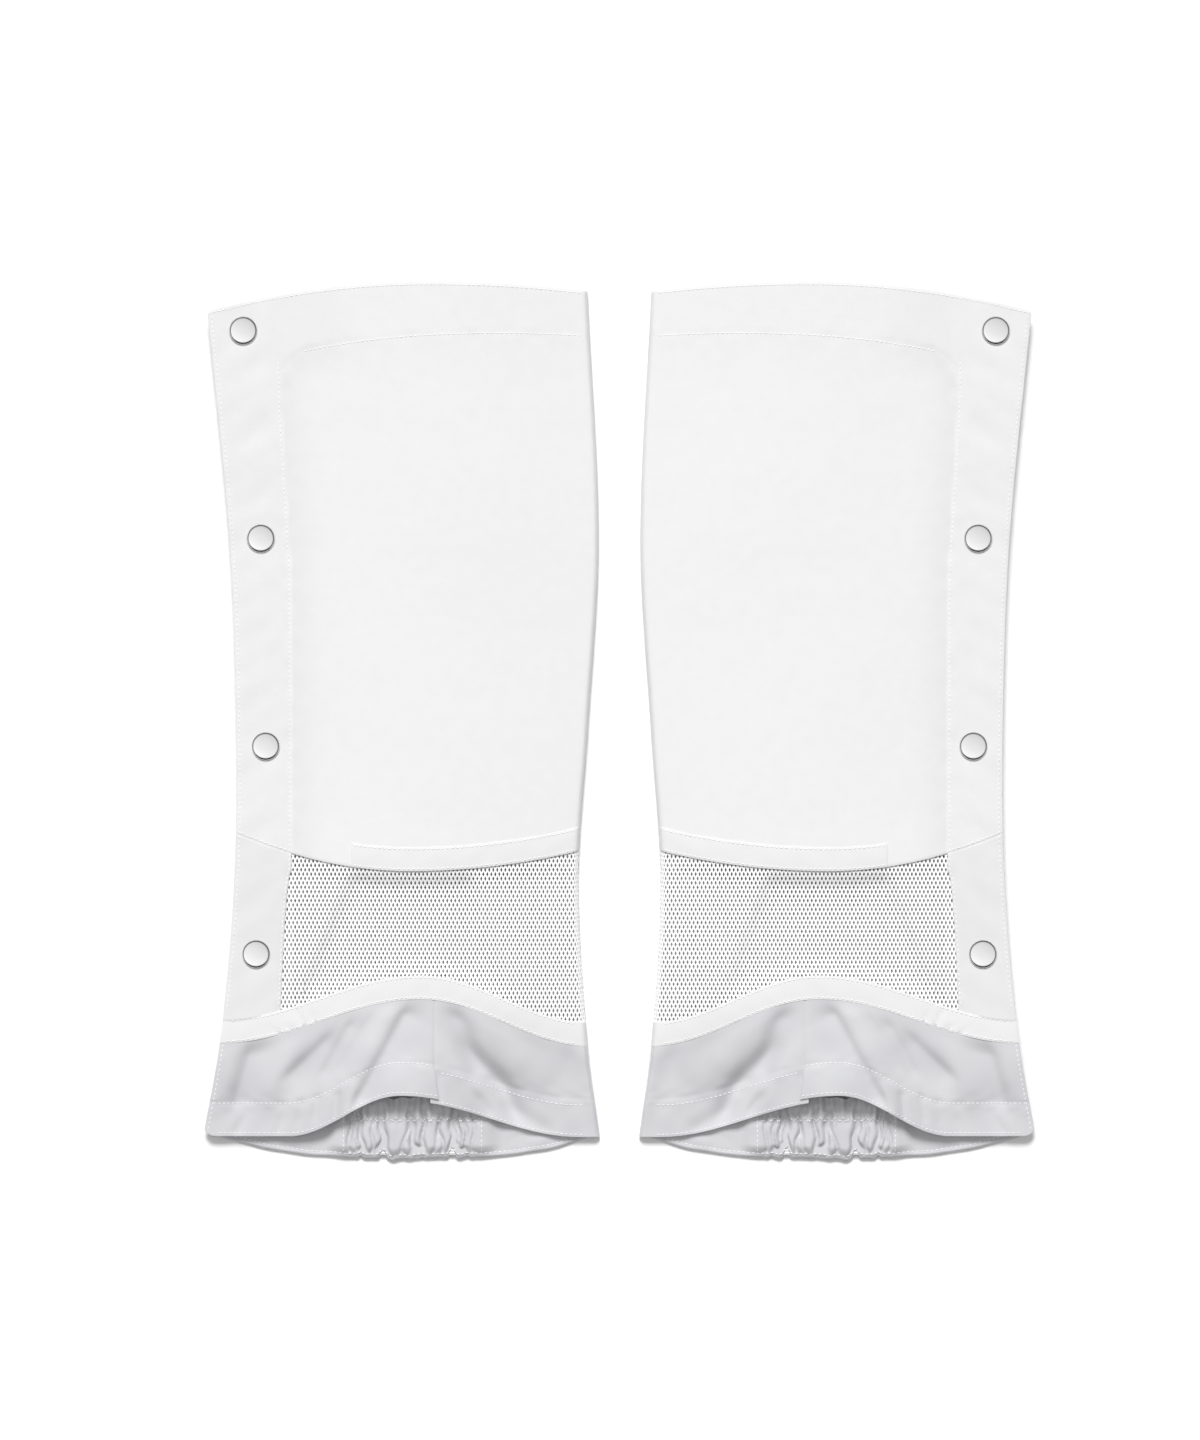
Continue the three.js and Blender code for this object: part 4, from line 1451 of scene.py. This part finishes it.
@dataclass(frozen=True)
class Placket:
    """The flap that closes the front: faced cotton, the net's placket and the band that runs on over it."""

    shop: Workshop
    front: Front
    cloth: float = 1.0

    def relief(self, u: Field, y: Field) -> Field:
        """The facing's line, slanting wrinkles between the snaps and a dimple round each cap."""
        plan = self.shop.plan
        past = smooth((u - plan.facing_edge(y) - 2) / 8)
        slant = 0.16 * ruffle(u + 0.6 * y, y, 22, 11.0)
        total = self.front.facing(u, y) + self.front.cloth(u, y) + past * slant
        for cap_u, cap_y in snap_places(plan):
            total = total - 0.45 * np.exp(-((np.hypot(u - cap_u, y - cap_y) / 8.5) ** 2))
        return total

    def build(self) -> None:
        """Cut, hang and sew the pieces."""
        shop, plan = self.shop, self.shop.plan
        panel = Cut(constant(plan.join_u), plan.edge, plan.upper_seam, plan.top_edge, 0.8)
        # The shade attribute paints shade beside the facing and greys the placket a little.
        shop.sheet(
            "placket_cotton", "cotton", panel, plan.hang_flap, Hold.PLACKET, ("flap_placket",), self.relief,
            self.cloth, 1.4, shade=self.front.shade)
        beside_net = Cut(
            plan.facing_edge, plan.edge, shifted(plan.lower_seam, plan.band - 1),
            shifted(plan.upper_seam, 0.2))
        # The placket beside the net is drawn evenly darker through the shade attribute.
        shop.sheet(
            "net_placket", "cotton", beside_net, plan.hang_flap, Hold.PLACKET, ("flap_net_placket",),
            self.relief, self.cloth, 1.4, shade=lambda u, y: np.full_like(u, 0.9))
        net = Cut(
            constant(plan.join_u), shifted(plan.facing_edge, 4), shifted(plan.lower_seam, plan.band - 2.5),
            shifted(plan.upper_seam, 2.5))
        sunk = constant_relief(-0.65)
        shop.net("flap_knit", net, plan.hang_flap, Hold.PLACKET, (), sunk, (False, False))
        band = Cut(constant(plan.join_u), plan.edge, plan.lower_seam, shifted(plan.lower_seam, plan.band))
        relief = stack(constant_relief(self.front.proud), self.front.band_relief(plan.lower_seam))
        shop.sheet(
            "flap_band", "tape", band, plan.hang_flap, Hold.PLACKET, ("flap_tape",), relief, 0.5, 1.5)
        self.sew(relief)

    def sew(self, band_relief: Relief) -> None:
        """Sew the facing line, the free edge and the band."""
        shop, plan = self.shop, self.shop.plan
        low_y = float(plan.lower_seam(np.array(plan.hinge_u))) + plan.band
        facing = shifted(plan.facing_edge, 1.0)
        rows = [
            along(facing, low_y + 1, plan.crown - 40),
            along(lambda y: plan.edge(y) - 1.8, low_y, plan.crown - 12),
            across(lambda w: plan.top_edge(w) - 1.6, plan.join_u, plan.hinge_u + 38),
            across(lambda w: plan.upper_seam(w) + 1.2, plan.hinge_u, plan.hinge_u + 24)]
        shop.stitches("placket_stitches", rows, plan.hang_flap, Hold.PLACKET, self.relief)
        end = plan.hinge_u + 31
        rows = [across(shifted(plan.lower_seam, step), plan.join_u, end) for step in (1.1, plan.band - 1.1)]
        shop.stitches("flap_band_stitches", rows, plan.hang_flap, Hold.PLACKET, band_relief)


# ---------------------------------------------------------------------------------------------------------
# Snap fasteners


def snap_places(plan: Plan) -> list[tuple[float, float]]:
    """Read the centres of the snaps from the CAD, as (u, y)."""
    places = []
    for k in range(1, 5):
        low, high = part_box(f"right_snap_cap_{k}")
        middle = (low + high) / 2 / MM
        places.append((middle.x, middle.y - plan.hem_y))
    return places


@dataclass(frozen=True)
class Snaps:
    """Four snap fasteners: cap and socket on the flap, stud and washer on the underlap."""

    shop: Workshop
    cap_radius: float = 7.0
    cap_z: float = 7.15
    dome: float = 1.85
    bevel: float = 0.95
    socket_radius: float = 5.5
    stud_radius: float = 4.6
    washer_z: float = 1.4

    def arc(self, centre: tuple[float, float], radius: float, start: float, end: float) -> Profile:
        """Give points of a profile's round corner, angles in degrees from outward."""
        angles = np.radians(np.linspace(start, end, 6))
        return [(centre[0] + radius * math.cos(a), centre[1] + radius * math.sin(a)) for a in angles]

    def cap_profile(self) -> Profile:
        """Flat dome that bends over to a bevelled rim, with a post below."""
        rim, z = self.cap_radius, self.cap_z
        face, shoulder = rim - self.bevel, rim - 0.15
        dome = [(face * k, z + self.dome - 0.5 * k**2.4) for k in np.linspace(1, 0, 12)]
        top = z + self.dome - 0.5
        shank = [(0, z - 1.6), (2.2, z - 1.6), (2.3, z - 1.4), (2.3, z)]
        side = [(rim - 0.3, z), (rim, z + 0.15), (rim, z + 0.5), (shoulder, top - 0.62)]
        edge = [(shoulder - 0.4, top - 0.36), (face + 0.05, top - 0.03)]
        return [*shank, *side, *edge, *dome]

    def socket_profile(self) -> Profile:
        """Flat ring with a raised, open middle that grips the stud."""
        r, low = self.socket_radius, 4.0
        outer = self.arc((r - 0.4, low + 1.1), 0.4, 90, -60)
        inner = [(3.6, low + 0.6), (3.2, low), (2.6, low), (1.9, low + 0.5), (1.9, 5.6)]
        return [(1.9, 5.6), (r - 0.4, 5.6), *outer, *inner]

    def stud_profile(self) -> Profile:
        """Flange on the underlap and a waisted post with a round head."""
        head = self.arc((0.9, 4.5), 0.5, -40, 90)
        r = self.stud_radius
        flange = [(0, 2.95), (r - 0.2, 2.95), (r, 3.05), (r, 3.2), (r - 0.3, 3.35)]
        return [*flange, (1.9, 3.4), (1.1, 3.8), *head, (0, 5.0)]

    def washer_profile(self) -> Profile:
        """Back plate on the underlap's hidden face."""
        r, z = self.stud_radius, self.washer_z
        return [(0, z), (r - 0.2, z), (r, z + 0.12), (r, z + 0.3), (r - 0.3, z + 0.45), (0, z + 0.45)]

    def build(self) -> None:
        """Turn every part of the four snaps."""
        shop = self.shop
        for k, centre in enumerate(snap_places(shop.plan), 1):
            parts = (
                ("cap_dome", self.cap_profile(), Hold.FLAP, (f"snap_cap_{k}",)),
                ("socket_ring", self.socket_profile(), Hold.FLAP, (f"snap_socket_{k}",)),
                ("stud_post", self.stud_profile(), Hold.BACK, (f"snap_stud_{k}",)),
                ("stud_washer", self.washer_profile(), Hold.BACK, ()),
            )
            for name, profile, hold, nodes in parts:
                piece = shop.turned(f"{name}_{k}", "nickel", centre, profile)
                shop.hold(piece, hold, "nickel", nodes)


# ---------------------------------------------------------------------------------------------------------
# Studio


@dataclass(frozen=True)
class Studio:
    """Pale floor, soft light from above and behind the top, and a camera straight overhead."""

    floor_size: float = 14.0
    floor_gap: float = 0.4
    camera_height: float = 6.0
    camera_place: tuple[float, float] = (-0.00975, 0.0005)
    focal: float = 300.0
    sensor: float = 36.0
    sky: float = 0.66
    seen_sky: float = 1.0
    key_power: float = 3.3
    key_angle: float = 0.4
    key_way: tuple[float, float, float] = (0.07, -1.0, -0.98)

    def floor(self) -> None:
        """Lay the floor."""
        bm = bmesh.new()
        below = Matrix.Translation((0, 0, -self.floor_gap * MM))
        bmesh.ops.create_grid(bm, x_segments=1, y_segments=1, size=self.floor_size / 2, matrix=below)
        mesh = bpy.data.meshes.new("studio_floor")
        bm.to_mesh(mesh)
        bm.free()
        piece = bpy.data.objects.new("studio_floor", mesh)
        bpy.context.scene.collection.objects.link(piece)
        material = bpy.data.materials.new("studio_paper")
        material.use_nodes = True
        tree = material.node_tree
        shader = tree.nodes["Principled BSDF"]
        place = add(tree, "ShaderNodeTexCoord").outputs["Object"]
        grain = add(tree, "ShaderNodeTexNoise", {"Vector": place, "Scale": 900.0})
        bump = add(
            tree, "ShaderNodeBump",
            {"Height": grain.outputs["Fac"], "Strength": 0.04, "Distance": 0.05 * MM})
        tree.links.new(bump.outputs["Normal"], shader.inputs["Normal"])
        shader.inputs["Base Color"].default_value = linear("#F6F6F6")
        shader.inputs["Roughness"].default_value = 0.95
        shader.inputs["Specular IOR Level"].default_value = 0.1
        mesh.materials.append(material)

    def lights(self) -> None:
        """Set the sky and the soft key light."""
        scene = bpy.context.scene
        world = bpy.data.worlds.new("studio_sky")
        world.use_nodes = True
        scene.world = world
        tree = world.node_tree
        lit = tree.nodes["Background"]
        way = add(tree, "ShaderNodeTexCoord").outputs["Generated"]
        parts = add(tree, "ShaderNodeSeparateXYZ", {"Vector": way}).outputs
        share = add(tree, "ShaderNodeMapRange", {"Value": parts["Y"], "From Min": -1.0, "From Max": 1.0})
        ramp = add(tree, "ShaderNodeValToRGB", {"Fac": share.outputs["Result"]})
        stops = ((0.0, 0.12), (0.09, 0.15), (0.22, 0.9), (0.32, 1.2), (0.5, 1.0), (0.76, 0.78), (1.0, 0.7))
        for place, grey in stops[1:-1]:
            ramp.color_ramp.elements.new(place).color = (grey, grey, grey, 1)
        ends = (ramp.color_ramp.elements[0], ramp.color_ramp.elements[-1])
        for element, (_, grey) in zip(ends, (stops[0], stops[-1])):
            element.color = (grey, grey, grey, 1)
        side = add(
            tree, "ShaderNodeMapRange",
            {"Value": parts["Z"], "From Min": 0.35, "From Max": 0.8, "To Min": 0.28, "To Max": 1.0},
            interpolation_type="SMOOTHSTEP")
        window = add(
            tree, "ShaderNodeMapRange",
            {"Value": parts["X"], "From Min": -0.9, "From Max": 0.9, "To Min": 1.25, "To Max": 0.75})
        level = add(
            tree, "ShaderNodeMath", {0: side.outputs["Result"], 1: window.outputs["Result"]},
            operation="MULTIPLY")
        both = add(
            tree, "ShaderNodeMix", {"Factor": 1.0, "A": ramp.outputs["Color"], "B": level.outputs["Value"]},
            data_type="RGBA", blend_type="MULTIPLY")
        tree.links.new(both.outputs["Result"], lit.inputs["Color"])
        lit.inputs["Strength"].default_value = self.sky
        seen = add(
            tree, "ShaderNodeBackground", {"Color": both.outputs["Result"], "Strength": self.seen_sky})
        ray = add(tree, "ShaderNodeLightPath").outputs["Is Glossy Ray"]
        mixed = add(tree, "ShaderNodeMixShader", {0: ray, 1: lit.outputs[0], 2: seen.outputs[0]})
        tree.links.new(mixed.outputs[0], tree.nodes["World Output"].inputs["Surface"])
        data = bpy.data.lights.new("key_softbox", "SUN")
        data.angle = self.key_angle
        data.energy = self.key_power
        lamp = bpy.data.objects.new("key_softbox", data)
        lamp.rotation_euler = Vector(self.key_way).to_track_quat("-Z", "Y").to_euler()
        lamp.visible_glossy = False
        scene.collection.objects.link(lamp)

    def camera(self) -> None:
        """Hang the camera straight overhead."""
        data = bpy.data.cameras.new("overhead")
        data.sensor_fit = "VERTICAL"
        data.sensor_height = self.sensor
        data.lens = self.focal
        data.clip_end = 50
        camera = bpy.data.objects.new("overhead", data)
        camera.location = (*self.camera_place, self.camera_height)
        bpy.context.scene.collection.objects.link(camera)
        bpy.context.scene.camera = camera

    def build(self) -> None:
        """Set up the floor, the lights and the camera."""
        self.floor()
        self.lights()
        self.camera()
        bpy.context.scene.view_settings.view_transform = "Standard"


def main() -> None:
    """Build both gaiters and the studio, and log each part as it is built."""
    logging.basicConfig(level=logging.INFO, format="%(message)s")
    plan = Plan.from_frame()
    cloths = finishes()
    for side in Side:
        shop = Workshop(side, plan, cloths)
        back = Back(shop)
        front = Front(shop)
        for part in (
            back, GatheredHem(shop, back), Underlap(shop, back), front, FrontCuff(shop, front),
            Placket(shop, front), Snaps(shop)):
            part.build()
            log.info("%s: built %s", side.name.lower(), type(part).__name__)
    Studio().build()


if __name__ == "__main__":
    main()
